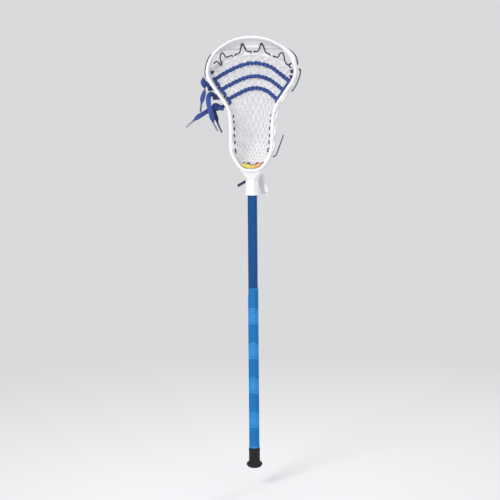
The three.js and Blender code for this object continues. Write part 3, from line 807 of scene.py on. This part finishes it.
def build_head():
    head = solid("moulded_head", whole_rim())
    throat = hull("throat", throat_corners())
    throat = boolean(throat, "DIFFERENCE", solid("well", ball_well()))
    socket = solid("socket", prism(*SOCKET, 0.6075, 0.6365))
    lip = solid("lip", loft([ring(octagon(half, corner), z) for half, corner, z in SOCKET_LIP]))
    boolean(head, "UNION", throat, socket, lip)
    cutters = [prism(SHAFT_HALF + SHAFT_GAP, 0.0012, 0.601, 0.6473)]
    cutters.append(rod((0, 0, SCREW_Z), (0, 0.03, SCREW_Z), SCREW_HOLE))
    cutters += [window_cutter(low * 0.001, high * 0.001) for low, high in WINDOWS]
    for side in (-1, 1):
        cutters += [rail_hole(t, 0.004, 0.0019, side) for t in STRING_STATIONS]
        cutters += [rail_hole(t, LACE_HOLE_BACK, 0.003, side) for t in LACE_STATIONS]
        cutters += [rail_hole(scoop_station(x), back, radius, side) for x, back, radius in SCOOP_HOLES]
    for k, cutter in enumerate(cutters):
        boolean(head, "DIFFERENCE", solid(f"cutter_{k}", cutter))
    moulded(head, HEAD_VOXEL, 5)
    return settle(head, PLASTIC, "head_plastic", "head_frame")


build_head()


# ---------------------------------------------------------------- shaft, grip, cap, screw, ball stop
END_SHARE = 0.97                    # how wide the shaft's and the grip's ends are beside the rest
SHAFT_BEVEL = 0.0004


def build_shaft():
    low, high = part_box("shaft")
    outer = octagon(SHAFT_HALF, 0.0016, 5, 0.00025)
    inner = octagon(SHAFT_HALF - 0.0013, 0.0008, 5)
    rings = [
        ring(outer * END_SHARE, low.z), ring(outer, low.z + SHAFT_BEVEL), ring(outer, high.z - SHAFT_BEVEL),
        ring(outer * END_SHARE, high.z), ring(inner, high.z), ring(inner, low.z),
    ]
    shaft = solid("octagonal_shaft", loft(rings, closed=True))
    boolean(shaft, "DIFFERENCE", solid("hole", rod((0, 0.002, SCREW_Z), (0, 0.02, SCREW_Z), SCREW_HOLE)))
    modifier(shaft, "WEIGHTED_NORMAL", keep_sharp=True)
    bake(shaft)
    return settle(shaft, ANODISED, "anodised_aluminium", "shaft")


def build_grip():
    low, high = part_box("grip_wrap")
    outer = octagon(SHAFT_HALF + 0.0009, 0.0024, 5, 0.0001)
    inner = octagon(SHAFT_HALF + SHAFT_GAP, 0.0016, 5)
    # the sleeve's top edge steps down on the left, where its lap ends
    step = smoothstep(outer[:, 0], -0.0086, -0.0074)
    top = lerp(high.z - GRIP_STEP, high.z, step)
    rings = []
    for f in np.linspace(0, 1, 240):
        z = low.z + f * (top - low.z)
        place = ((z + GRIP_ARC * outer[:, 0] ** 2 + GRIP_PHASE) / GRIP_PERIOD) % 1.0
        to_change = np.minimum(np.abs(place - GRIP_BLUR / 2), np.abs(place - GRIP_SHARE - GRIP_BLUR / 2))
        swell = 1 + GRIP_SWELL * np.exp(-(to_change * GRIP_PERIOD / GRIP_RIDGE) ** 2)
        rings.append(np.column_stack([outer * swell[:, None], z]))
    ends = [np.column_stack([outer * END_SHARE, top + 0.0002]), np.column_stack([inner, top])]
    rings = [ring(outer * END_SHARE, low.z), *rings, *ends, ring(inner, low.z)]
    grip = solid("two_tone_grip_sleeve", loft(rings, closed=True))
    return settle(grip, GRIP, "grip", "grip_wrap")


CAP_VOXEL = 0.0004


def build_cap():
    profile = mm([
        [5, 0], [9, 0.1], [12.4, 1.0], [14.8, 2.6], [16.6, 4.8], [17.5, 7.6], [17.3, 9.4], [16.2, 11],
        [14.2, 12.4], [12.8, 13.6], [12.15, 15.4], [12.1, 20], [12.1, 22.4], [11.8, 22.8], [11.8, 23.6],
        [12.1, 24], [12.1, 27.4], [11.8, 27.8], [11.8, 28.6], [12.1, 29], [12.1, 32.4], [11.8, 32.8],
        [11.8, 33.6], [12.1, 34], [12.1, 39.6], [12.45, 40.4], [12.5, 42.4], [12.2, 43.3], [11.8, 43.5],
    ])
    cap = solid("rubber_end_cap", lathe(profile))
    boolean(cap, "DIFFERENCE", solid("bore", prism(0.0103, 0.001, 0.008, 0.05)))
    moulded(cap, CAP_VOXEL, 3)
    return settle(cap, RUBBER, "rubber", "end_cap", body="butt")


SCREW_SEAT = 0.0141
SCREW_PROFILE = [(0.0017, -0.009), (0.0018, -0.0086), (0.0018, 0), (0.004, 0), (0.0041, 0.0006),
                 (0.0038, 0.0014), (0.003, 0.0022), (0.0016, 0.0026)]      # radius, height over the seat


def build_screw():
    points, faces = lathe([(r, SCREW_SEAT + rise) for r, rise in SCREW_PROFILE], 40)
    screw = solid("head_screw_pan", (points[:, [0, 2, 1]] + [0, 0, SCREW_Z], faces))
    for k, (x, z) in enumerate(((0.0028, 0.0005), (0.0005, 0.0028))):
        corners = np.array([[-x, -z], [x, -z], [x, z], [-x, z]])
        slot = []
        for rise, share in ((0.0009, 0.7), (0.004, 1.15)):
            level = np.full(4, SCREW_SEAT + rise)
            slot.append(np.column_stack([corners[:, 0] * share, level, SCREW_Z + corners[:, 1] * share]))
        boolean(screw, "DIFFERENCE", solid(f"slot_{k}", loft(slot)))
    modifier(screw, "BEVEL", width=0.0001, segments=2, limit_method="ANGLE")
    bake(screw)
    return settle(screw, STEEL, "screw_steel", "head_screw")


STOP_REACH, STOP_THICK, STOP_GAP, STOP_MARGIN = 0.105, 0.0072, 0.0009, 0.008
STOP_STEPS = 40


def build_ball_stop():
    """A pad on the throat's floor, out to STOP_REACH along the rim on both sides."""
    rings = []
    for i in range(-STOP_STEPS, STOP_STEPS + 1):
        share = abs(i) / STOP_STEPS
        s = Station(share * STOP_REACH)
        ending = smoothstep(share, 0.9, 1.0)
        low = FRONT_RAIL + STOP_GAP
        high = low + STOP_THICK * (1 - 0.35 * ending)
        near, far = STOP_MARGIN, float(s.depth[0]) - STOP_MARGIN
        half = np.array([(far - near) / 2 * (1 - 0.05 * ending), (high - low) / 2])
        outline = oval(48, 6.0) * half + np.array([(near + far) / 2, (low + high) / 2])
        points = np.array([s.point(d, inset)[0] for d, inset in outline])
        rings.append(sided(points, -1 if i < 0 else 1))
    stop = solid("foam_ball_stop", loft(rings))
    return settle(stop, FOAM, "foam", "ball_stop")


build_shaft()
build_grip()
build_cap()
build_screw()
build_ball_stop()

# ---------------------------------------------------------------- the pocket's surface
POCKET_UPPER, POCKET_LOWER = 0.677, 0.125
EDGE_INSET, EDGE_BACK = REAR_RAIL + 0.0028, 0.004
EDGE_RADIUS = 0.0018
POCKET_MIDDLE = mm([17, 30, 44, 56, 65, 71, 73, 69, 58, 42, 27])
POCKET_TOP_RISE, POCKET_FOOT_DROP = 0.037, 0.001
POCKET_THICK = 0.0024


def pocket_points(u, v):
    """Points of the pocket's inner face for arrays of u, from -1 to 1, and v, from 0 to 1."""
    shape = np.broadcast(u, v).shape
    u, v = (np.broadcast_to(value, shape).ravel() for value in (u, v))
    s = Station(lerp(POCKET_UPPER, POCKET_LOWER, v))
    edge = s.point(s.depth - EDGE_BACK, EDGE_INSET)
    crown = 1 - u * u
    shares = np.linspace(0, 1, len(POCKET_MIDDLE))
    middle = Curve(np.column_stack([shares, POCKET_MIDDLE, shares * 0])).at(v)[:, 1]
    rise = lerp(POCKET_TOP_RISE, -POCKET_FOOT_DROP, v)
    points = np.column_stack([u * edge[:, 0], lerp(edge[:, 1], middle, crown), edge[:, 2] + rise * crown])
    return points.reshape(*shape, 3)


class Pocket:
    """The pocket's middle surface by a, the share of the way across from -1 to 1, and w, the share
    of the way down from 0 to 1, both even in length."""

    def __init__(self, rows=240, columns=160):
        v = np.linspace(0, 1, rows + 1)
        middle = pocket_points(np.zeros(rows + 1), v)
        along = lengths(middle)
        v = np.interp(np.linspace(0, along[-1], rows + 1), along, v)
        u = np.linspace(-1, 1, columns + 1)
        raw = pocket_points(u[None, :], v[:, None])
        shares = np.linspace(0, 1, columns + 1)
        grid = np.empty_like(raw)
        for i, row in enumerate(raw):
            across = lengths(row)
            for k in range(3):
                grid[i, :, k] = np.interp(shares * across[-1], across, row[:, k])
        down, right = np.gradient(grid, axis=0), np.gradient(grid, axis=1)
        self.normal = unit(np.cross(right, down))
        self.grid = grid + np.array([0, POCKET_THICK / 2, 0])
        self.rows, self.columns = rows, columns

    def look_up(self, values, a, w):
        i = np.clip(w, 0, 1) * self.rows
        j = (np.clip(a, -1, 1) + 1) / 2 * self.columns
        i0 = np.minimum(i.astype(int), self.rows - 1)
        j0 = np.minimum(j.astype(int), self.columns - 1)
        di, dj = (i - i0)[..., None], (j - j0)[..., None]
        upper = lerp(values[i0, j0], values[i0, j0 + 1], dj)
        lower = lerp(values[i0 + 1, j0], values[i0 + 1, j0 + 1], dj)
        return lerp(upper, lower, di)

    def at(self, a, w, lift=0.0):
        """lift is the distance towards the ball's side."""
        a, w = np.broadcast_arrays(np.asarray(a, float), np.asarray(w, float))
        normal = self.look_up(self.normal, a, w)
        lift = np.broadcast_to(lift, a.shape)[..., None]
        return self.look_up(self.grid, a, w) - normal * lift * np.sign(normal[..., 1:2])


pocket = Pocket()
# Rows of holes down the pocket: wide apart above, closer in the channel, closest at the foot
NET_SPACING = [14.5, 15, 17, 17] + [13.5] * 11 + [9.2] * 6
NET_SHARES = np.concatenate([[0], np.cumsum(NET_SPACING)]) / sum(NET_SPACING)
NET_ROWS = len(NET_SPACING)
NET_COLUMNS = 10
EDGE_STEPS = 5
STRAND_HEIGHT = 0.0014
HEMS, HEM_THICK = [(0.02, 0.0052), (0.985, 0.004)], 0.0016      # how far down, half width
JITTER = np.array([0.004, 0.0018])  # of the lattice, across and down
TOWARDS_BALL = np.array([0, -1.0, 0])


def net_place(i, j, jitter):
    """Lattice point i half columns across and j rows down, slightly off its exact place."""
    inner = 0 < i < 2 * NET_COLUMNS and 0 < j < NET_ROWS
    shift = jitter[j, i] if inner else np.zeros(2)
    return np.array([-1 + i / NET_COLUMNS, NET_SHARES[j]]) + shift


def hole_shape(w):
    """Width and height of a hole as shares of its diamond, and how square its outline is."""
    channel = smoothstep(w, 0.3, 0.5)
    closing = lerp(1.0, 0.16, smoothstep(w, 0.72, 0.85))
    return lerp(0.62, 0.56, channel) * closing, lerp(0.44, 0.54, channel) * closing, lerp(2.0, 1.4, channel)


def net_cell(skin, i, j, jitter, seams):
    """One diamond with its hole: strands on its four sides, closed round the hole. Where the
    diamond passes over the net's edge its corner is moved back to the edge."""
    corners = []
    for di, dj in ((0, -1), (1, 0), (0, 1), (-1, 0)):
        corners.append(net_place(min(max(i + di, 0), 2 * NET_COLUMNS), min(max(j + dj, 0), NET_ROWS), jitter))
    top, right, bottom, left = corners
    middle = net_place(i, j, jitter)
    share = np.arange(EDGE_STEPS)[:, None] / EDGE_STEPS
    rim = np.vstack([lerp(corners[k], corners[(k + 1) % 4], share) for k in range(4)])
    half = np.array([right[0] - left[0], bottom[1] - top[1]]) / 2
    d = (rim - middle) / half
    d = d / np.maximum(np.abs(d).sum(1, keepdims=True), 1e-9)
    wide, tall, power = hole_shape(middle[1])
    reach = (np.abs(d) ** power).sum(1, keepdims=True) ** (-1 / power)
    hole = middle + d * reach * half * np.array([wide, tall])
    inner = lerp(rim, hole, 0.6)
    node = np.zeros(len(rim))
    node[::EDGE_STEPS] = 0.35
    lift_rim = STRAND_HEIGHT * (1 + node)
    lift_inner = STRAND_HEIGHT * 0.82 * (1 + 0.5 * node)
    lines = [(rim, lift_rim), (inner, lift_inner), (hole, 0.0), (inner, -lift_inner), (rim, -lift_rim)]
    layers = [pocket.at(line[:, 0], line[:, 1], lift) for line, lift in lines]
    n = len(rim)
    # along each strand the UV runs from the upper node to the lower one
    steps = np.arange(EDGE_STEPS + 1) / EDGE_STEPS
    share = np.concatenate([steps, steps, 1 - steps, 1 - steps])
    span = np.linalg.norm(pocket.at(*right) - pocket.at(*top))
    gaps = [np.linalg.norm(layers[k] - layers[0], axis=1).mean() for k in (0, 1, 2, 1, 0)]
    faces, uvs = [], []
    for layer in range(4):
        for k in range(n):
            after = (k + 1) % n
            place = (k // EDGE_STEPS) * (EDGE_STEPS + 1) + k % EDGE_STEPS
            low, high = share[place] * span, share[place + 1] * span
            faces.append([layer * n + k, layer * n + after, (layer + 1) * n + after, (layer + 1) * n + k])
            x0, x1 = gaps[layer], gaps[layer + 1]
            uvs += [(x0, low), (x0, high), (x1, high), (x1, low)]
    start = skin.count
    skin.add(np.vstack(layers), faces, uvs)
    for k in range(n):
        key = tuple(sorted(tuple(np.round(corners[(k // EDGE_STEPS + step) % 4], 6)) for step in (0, 1)))
        after = (k + 1) % n
        seams.setdefault(key, []).append([start + k, start + after, start + 4 * n + after, start + 4 * n + k])


def build_net():
    skin = Skin()
    jitter = rng.normal(0, 1, (NET_ROWS + 1, 2 * NET_COLUMNS + 1, 2)) * JITTER
    seams = {}
    for j in range(1, NET_ROWS):
        first = 2 if j % 2 else 1
        for i in range(first, 2 * NET_COLUMNS, 2):
            net_cell(skin, i, j, jitter, seams)
    # close the outer side of every strand that has a diamond on one side only
    walls = []
    for quads in seams.values():
        if len(quads) == EDGE_STEPS:
            walls += [[q[0], q[3], q[2], q[1]] for q in quads]
    skin.faces += walls
    skin.uvs.append(np.zeros((4 * len(walls), 2)))
    net = skin.build("knitted_mesh_pocket", weld=0.00002)
    modifier(net, "SUBSURF", levels=1, render_levels=1)
    bake(net)
    # knitted cords along its sides, top and foot
    edges = Skin()
    down = np.linspace(0, 1, 300)
    across = np.linspace(-1, 1, 200)
    for side in (-1, 1):
        round_cord(edges, pocket.at(side, down), EDGE_RADIUS)
    for down, wide in HEMS:
        sweep(edges, pocket.at(across, down), RIBBON, TOWARDS_BALL, 0.0, wide, HEM_THICK)
    join(net, edges.build("knitted_edge_cords"))
    return settle(net, MESH, "mesh_cord", "pocket_mesh")


build_net()

# ---------------------------------------------------------------- laces and strings


def free_lace(name, node, route, width, thickness, look, slot, end_node=None, aglet=None, turns=(), **facts):
    """A free end as a flat or round cord along its route, gathered at its start and into its tip."""
    path = smooth_route(mm(route))
    along = lengths(path)
    share = along / along[-1]
    wide = np.full(len(path), width / 2)
    thick = np.full(len(path), thickness / 2)
    if width > thickness:
        gathered = smoothstep(along, 0, 0.008)
        wide = lerp(width * 0.34, width / 2, gathered)
        thick = lerp(thickness * 0.8, thickness / 2, gathered)
    if aglet is not None:
        closing = smoothstep(along[-1] - along, 0, 0.011)
        wide = lerp(0.0021, wide, closing)
        thick = lerp(0.0019, thick, closing)
    turn = np.interp(share, [p[0] for p in turns], [math.radians(p[1]) for p in turns]) if turns else 0.0
    skin = Skin()
    sweep(skin, path, RIBBON if width > thickness else ROUND, TOWARDS_BALL, turn, wide, thick)
    piece = skin.build(name)
    if aglet is not None:
        facts["with_pieces"] = [aglet]
    return settle(piece, look, slot, node)


def build_aglet(name, node, ends, look):
    start, end = mm(ends)
    reach = lengths(np.array([start, end]))[-1]
    along = np.linspace(0, 1, 24)
    path = start + along[:, None] * (end - start)
    radius = lerp(0.0024, 0.0019, along)
    crimp = 1 - 0.12 * np.exp(-((along * reach - 0.003) / 0.0007) ** 2)
    skin = Skin()
    sweep(skin, path, oval(20, 2.3), None, 0.0, radius * crimp, radius * crimp * 0.92)
    return settle(skin.build(name), look, "aglet_plastic", node)


TAILS = {
    "a": [
        [-88, 29, 832], [-94, 27, 836], [-99.5, 24, 841], [-104.5, 21, 848], [-106, 19, 856],
        [-108.2, 18, 856.5], [-109.2, 17.5, 849], [-106.5, 17, 840], [-104.6, 17, 832.5], [-106.5, 17, 823],
        [-109.7, 17, 812.4], [-112.5, 17, 799.7],
    ],
    "b": [
        [-66, 30.5, 787.5], [-73, 28.5, 790.5], [-82.3, 25.5, 793], [-90.1, 22, 790.7], [-98.3, 18, 784.8],
        [-108.2, 16, 778.7], [-120, 15, 771.5], [-129.5, 13.5, 763.8],
    ],
    "c": [
        [-76, 31, 811], [-82, 30, 813], [-87.3, 27, 819], [-92.3, 24, 821], [-96.2, 18, 815.5],
        [-96.3, 13, 805], [-94.2, 10, 792.7], [-90.2, 8, 779.7], [-86.9, 8, 766.8], [-85, 8, 758.5],
    ],
    "d": [
        [-70, 34, 793], [-76.7, 34, 795], [-84, 32, 797.3], [-88, 30, 794.1], [-86.8, 28, 784.3],
        [-82.2, 27, 770.5], [-78.6, 26, 758],
    ],
}
AGLETS = {
    "a": [[-112.7, 17, 798.8], [-114.4, 16, 783]],
    "b": [[-130.4, 13.4, 763], [-145.6, 12, 750]],
    "c": [[-84.8, 8, 757.6], [-75.8, 8, 741]],
    "d": [[-78.2, 25.9, 757], [-69.4, 25, 737.8]],
}
TAIL_WIDTH = {"a": 0.0105, "b": 0.0105, "c": 0.011, "d": 0.0092}
# Turn of the flat lace about its own line: (share of the way along, degrees)
TAIL_TURNS = {
    "a": [(0, 0), (0.2, 25), (0.37, 90), (0.48, 170), (0.58, 225), (0.64, 270), (0.7, 315), (0.8, 350),
          (1, 370)],
    "b": [(0, -30), (0.4, 10), (0.6, 30), (1, -15)],
    "c": [(0, 45), (0.25, 20), (0.6, -15), (1, 25)],
    "d": [(0, -40), (0.4, 10), (1, 20)],
}
# tail d takes the darker copy of the lace: painted shade
for letter, route in TAILS.items():
    tip_look = DARK_AGLET if letter in "ad" else CLEAR
    tip = build_aglet(f"lace_aglet_{letter}", f"aglet_{letter}", AGLETS[letter], tip_look)
    free_lace(
        f"royal_lace_tail_{letter}", f"lace_tail_{letter}", route, TAIL_WIDTH[letter], 0.0017,
        SHADE_PAINTED_LACE if letter == "d" else LACE, "blue_lace",
        aglet=tip, turns=TAIL_TURNS[letter], far_end="fitting", stiffness="limp",
    )

THROAT_LACE = [
    [2, 24, 641], [-6, 22.5, 638], [-14, 19, 633], [-20, 15, 629.5], [-27, 12, 625.5], [-33, 10, 622],
]
free_lace("throat_lace_stub", "throat_lace_end", THROAT_LACE, 0.006, 0.0026, NAVY, "navy_string",
          far_end="bare", stiffness="medium")

STRING_TAIL = [
    [43.4, 14, 684.5], [47, 14, 685.3], [50.8, 14, 688.8], [53.8, 14, 696], [58, 14, 707], [62.5, 13, 719],
    [67, 12, 731],
]
free_lace("sidewall_string_end", "sidewall_string_tail", STRING_TAIL, 0.0024, 0.0024, NAVY, "navy_string",
          far_end="bare", stiffness="medium")

MESH_TAILS = [
    [[9, 27, 656], [12, 27.5, 645], [16, 27, 632], [21, 25, 618], [25.5, 23.5, 607], [28, 23, 600]],
    [[6, 28, 654], [8.5, 29.5, 642], [12, 30, 628], [16.5, 28, 615], [20.5, 26, 604]],
    [[12, 25, 659], [17, 24, 648], [21, 23, 635], [26, 20, 621], [29, 19, 608]],
]
for k, route in enumerate(MESH_TAILS, 1):
    free_lace(f"mesh_end_{k}", f"mesh_tail_{k}", route, 0.0068, 0.003, MESH_END, "mesh_cord",
              far_end="bare", stiffness="limp")


STRING_RADIUS, KNOT_CORD = 0.0012, 0.0013


def string_piece(name, node, routes, radius=STRING_RADIUS, knots=()):
    skin = Skin()
    for route in routes:
        round_cord(skin, smooth_route(route, 0.0006), radius)
    for knot in knots:
        round_cord(skin, knot, KNOT_CORD, closed=True)
    return settle(skin.build(name), NAVY, "navy_string", node)


# The top string goes up to the scoop's holes in four steep bends, and behind the net's top between them
TOP_BENDS = [
    [[-67.4, 20, 886.3], [-69.4, 14, 893.1], [-67, 7, 905], [-64.4, 7, 907.7], [-60.8, 9, 905.4],
     [-57.4, 12, 899.2], [-53.4, 13, 899.2], [-44.4, 14, 902.5]],
    [[-37.3, 15, 904.1], [-27.4, 13, 907.4], [-24.8, 9, 912.5], [-21.6, 3, 922.6], [-18.6, -1, 926.2],
     [-14.6, 4, 917.1], [-10.6, 11, 910.6], [-3.5, 13, 910.4]],
    [[4.7, 13, 910.3], [13, 11, 910], [18.7, 4, 920.8], [22.2, -1, 926.1], [25.3, 4, 920.7],
     [28, 10, 912.4], [29.3, 13, 908], [37.7, 15, 903.7]],
    [[45.8, 14, 900.1], [55.8, 13, 896.7], [59.4, 10, 902.4], [63.6, 7, 905.9], [66.6, 7, 905.5],
     [69.3, 12, 897.7], [69.8, 16, 890.1], [73, 20, 883.1]],
]
TOP_ENDS = [[[-83.3, 12, 885.5], [-77.4, 11, 889.8], [-72, 14, 886], [-69, 22, 882]],
            [[75, 24, 881], [79, 15, 881], [84.7, 11, 883.5], [80.1, 12, 878.3], [83.4, 13, 873.6]]]
top_route = TOP_ENDS[0] + TOP_BENDS[0]
for bend in TOP_BENDS[1:]:
    (x0, _, z0), (x1, _, z1) = top_route[-1], bend[0]
    top_route = top_route + [[x0 + 0.7, 24, z0 - 2], [x1 - 0.7, 24, z1 - 2]] + bend
string_piece("top_string_cord", "top_string", [mm(top_route + TOP_ENDS[1])], 0.00145)

# Round the net's edge cord, as (share of HOLE_STEP along the rim, distance from its rear edge, share
# of the way from the cord's back to the stitch, which lies further in on one side than the other)
HOLE_BEND = [(1.5, 0.0012, 0.0), (1.25, 0.004, 0.9), (0.8, 0.0066, 1.0), (-0.8, 0.0066, 1.0),
             (-1.25, 0.004, 0.9), (-1.5, 0.0012, 0.0)]
HOLE_STEP = 0.0035
LOW_STITCH, UPPER_STITCH = 2.4, 1.7         # how much longer than the others these stitches are
BEHIND_CORD = (0.0012, 0.003)               # in front of the rear edge, beyond the rail
STITCH_INSET = {1: 0.0092, -1: 0.0012}
UPPER_INSET = 0.0062                # the most for the stitches and knots in the upper half


def stitch_inset(side, t):
    """How far in front of the rear rail the string lies at a stitch."""
    return min(STITCH_INSET[side], UPPER_INSET) if t > 0.5 else STITCH_INSET[side]


def sidewall_route(side):
    """Behind the net's edge cord, with a short stitch in front of it at each hole of the rail."""
    points = []
    stations = sorted(STRING_STATIONS, reverse=True)
    for k, t in enumerate(stations):
        longer = LOW_STITCH if k + 1 == len(stations) else UPPER_STITCH if t > 0.5 else 1.0
        for share, back, forward in HOLE_BEND:
            s = Station(t + share * HOLE_STEP * longer)
            points.append(s.rear(back, lerp(BEHIND_CORD[1], stitch_inset(side, t), forward)))
        if k + 1 < len(stations) and t - stations[k + 1] > 0.05:
            for share in (0.2, 0.4, 0.6, 0.8):
                points.append(Station(lerp(t, stations[k + 1], share)).rear(*BEHIND_CORD))
    return sided(points, side)


def sidewall_knot(side, t):
    """A knot in front of the net's edge at the rail's hole."""
    place = sided(Station(t).rear(0.0085, stitch_inset(side, t) + 0.001), side)
    return knotted(place, unit(TOWARDS_BALL + np.array([-0.4 * side, 0, 0])), 0.0032)


for side, word, knots in ((1, "right", (0.6, 0.65)), (-1, "left", (0.65,))):
    string_piece(f"sidewall_string_cord_{word}", f"sidewall_string_{word}", [sidewall_route(side)],
                 knots=[sidewall_knot(side, t) for t in knots])


def outside_run(stations, from_front, from_rear, side):
    """A string on the rim's outer face, kept a distance from its front or its rear edge."""
    s = Station(stations)
    return sided(s.point(s.depth - from_rear if from_rear else from_front, -0.0013), side)


BOTTOM_STITCHES = [[[-20.5, 672], [-16.5, 667.5]], [[-9, 671.5], [-5.5, 666.6]],
                   [[4.2, 666.4], [8, 671.2]], [[17.5, 668], [21.5, 672.6]]]
bottom_route = []
for above, below in BOTTOM_STITCHES:
    middle = (above[0] + below[0]) / 2
    bottom_route += [[above[0] - 1, 24, above[1]], [above[0], 18, above[1]],
                     [middle, 15.5, (above[1] + below[1]) / 2],
                     [below[0], 18, below[1]], [below[0] + 1, 24, below[1]]]
string_piece("upper_string_cord_left", "upper_string_run_left",
             [outside_run(np.linspace(0.77, 0.62, 14), 0.005, 0, -1)])
string_piece("upper_string_cord_right", "upper_string_run_right",
             [outside_run(np.linspace(0.825, 0.69, 12), 0, 0.006, 1)])
string_piece("bottom_string_cord", "bottom_string", [mm(bottom_route)])

# Each shooting lace: the net's row at its middle, its drop at the ends as a share of the pocket's
# length, its further drop at the right end, and the rim stations of the holes for its two strands
# on the right; on the left both strands leave through the first
SHOOTERS = [[2, 0.02, 0.046, 0.525, 0.48], [4, 0.02, 0.022, 0.48, 0.43], [6, 0.018, 0.02, 0.43, 0.43]]
KNOTS = [[-94.5, 27, 834], [-84.5, 28, 815], [-80.5, 30, 791.5]]    # outside the left rail
SHOOTER_REACH = 0.94
TWIST_PERIOD = 0.017
TWIST_RADIUS = 0.0021
BAND_INSET = {1: 0.0072, -1: 0.0046}
LACE_LIFT = 0.0026                  # of a shooting lace over the net's middle surface


def lace_end(end, hole, side):
    """From the twisted part's end down the inside of the rail and into its hole: points, facings."""
    route, facing = [], []
    top = station_where(rear_curve, 2, end[2] - 0.004, 0.3, 0.64)
    for share in (0.15, 0.5, 0.9):
        s = Station(lerp(top, hole, share))
        route.append(s.rear(0.009, BAND_INSET[side]))
        facing.append(unit(TOWARDS_BALL - 0.45 * s.out[0]))
    s = Station(hole)
    for inset in (0.0008, -0.004):
        route.append(s.rear(LACE_HOLE_BACK, inset))
        facing.append(unit(TOWARDS_BALL - s.out[0]))
    return sided(route, side), sided(facing, side)


def build_shooter(number, row, drop, right_drop, first, second):
    a = np.linspace(-SHOOTER_REACH, SHOOTER_REACH, 21)
    share = a / SHOOTER_REACH
    falls = drop * smoothstep(np.abs(share), 0, 0.8) + right_drop * smoothstep(share, 0.35, 1)
    centre = pocket.at(a, NET_SHARES[row] + falls, LACE_LIFT)
    skin = Skin()
    for phase, hole in ((0, first), (math.pi, second)):
        left, left_facing = lace_end(centre[0], first, -1)
        right, right_facing = lace_end(centre[-1], hole, 1)
        points = np.vstack([left[::-1], centre, right])
        facing = np.vstack([left_facing[::-1], np.tile(TOWARDS_BALL, (len(centre), 1)), right_facing])
        path = smooth_route(points, 0.0008)
        nearest = np.linalg.norm(path[:, None] - points[None], axis=2).argmin(1)
        facing = smoothed(facing[nearest], 9)
        along = lengths(path)
        starts = [along[np.linalg.norm(path - end, axis=1).argmin()] for end in (centre[0], centre[-1])]
        twisted = smoothstep(np.minimum(along - starts[0], starts[1] - along), -0.004, 0.012)
        _, normal, side = frames(path, facing)
        angle = 2 * math.pi * (along - starts[0]) / TWIST_PERIOD + phase
        reach = (TWIST_RADIUS * twisted)[:, None]
        strand = path + side * reach * np.cos(angle)[:, None] + normal * 0.7 * reach * np.sin(angle)[:, None]
        strand = strand + normal * (phase / math.pi - 0.5) * 0.0012 * (1 - twisted)[:, None]
        through = smoothstep(np.minimum(along, along[-1] - along), 0.006, 0.014)
        wide = lerp(0.0021, lerp(0.0036, 0.0027, twisted), through)
        sweep(skin, strand, RIBBON, facing, 0.45 * np.sin(angle) * twisted, wide, 0.0011)
    piece = skin.build(f"twisted_shooting_lace_{number}")
    return settle(piece, LACE, "blue_lace", f"shooting_lace_{number}")


def build_lace_knots():
    """Where each shooting lace comes out on the left it is knotted before its ends hang free."""
    skin = Skin()
    for (_, _, _, hole, _), place in zip(SHOOTERS, KNOTS):
        mouth, knot = sided(Station(hole).rear(LACE_HOLE_BACK, 0.001, 0.0)), mm(place)
        stem = smooth_route([mouth, lerp(mouth, knot, 0.5), knot])
        sweep(skin, stem, RIBBON, TOWARDS_BALL, 0.3, 0.0036, 0.0014)
        wrap = knotted(knot, unit(knot - mouth), 0.0048)
        sweep(skin, wrap, RIBBON, TOWARDS_BALL, 0.4, 0.0024, 0.0012, closed=True)
    # the knots take the darker copy of the lace: painted shade
    return settle(skin.build("lace_knots"), SHADE_PAINTED_LACE, "blue_lace")


for number, values in enumerate(SHOOTERS, 1):
    build_shooter(number, *values)
build_lace_knots()

OUTER_RUN = [
    [99.6, 24, 873], [102.3, 24, 868.5], [102.6, 24, 862], [100, 24, 853], [95.3, 24.5, 841],
    [88, 25, 828.5], [84, 25, 824.3],
]
# the outer run is royal lace drawn in the darker navy string look: painted shade
skin = Skin()
round_cord(skin, smooth_route(mm(OUTER_RUN)), 0.0013)
round_cord(skin, knotted(mm([102.9, 23.5, 869.5]), np.array([0.5, -0.6, 0.6]), 0.0019), 0.0009, closed=True)
settle(skin.build("outer_lace_run"), NAVY, "blue_lace", "shooting_lace_outer_run")
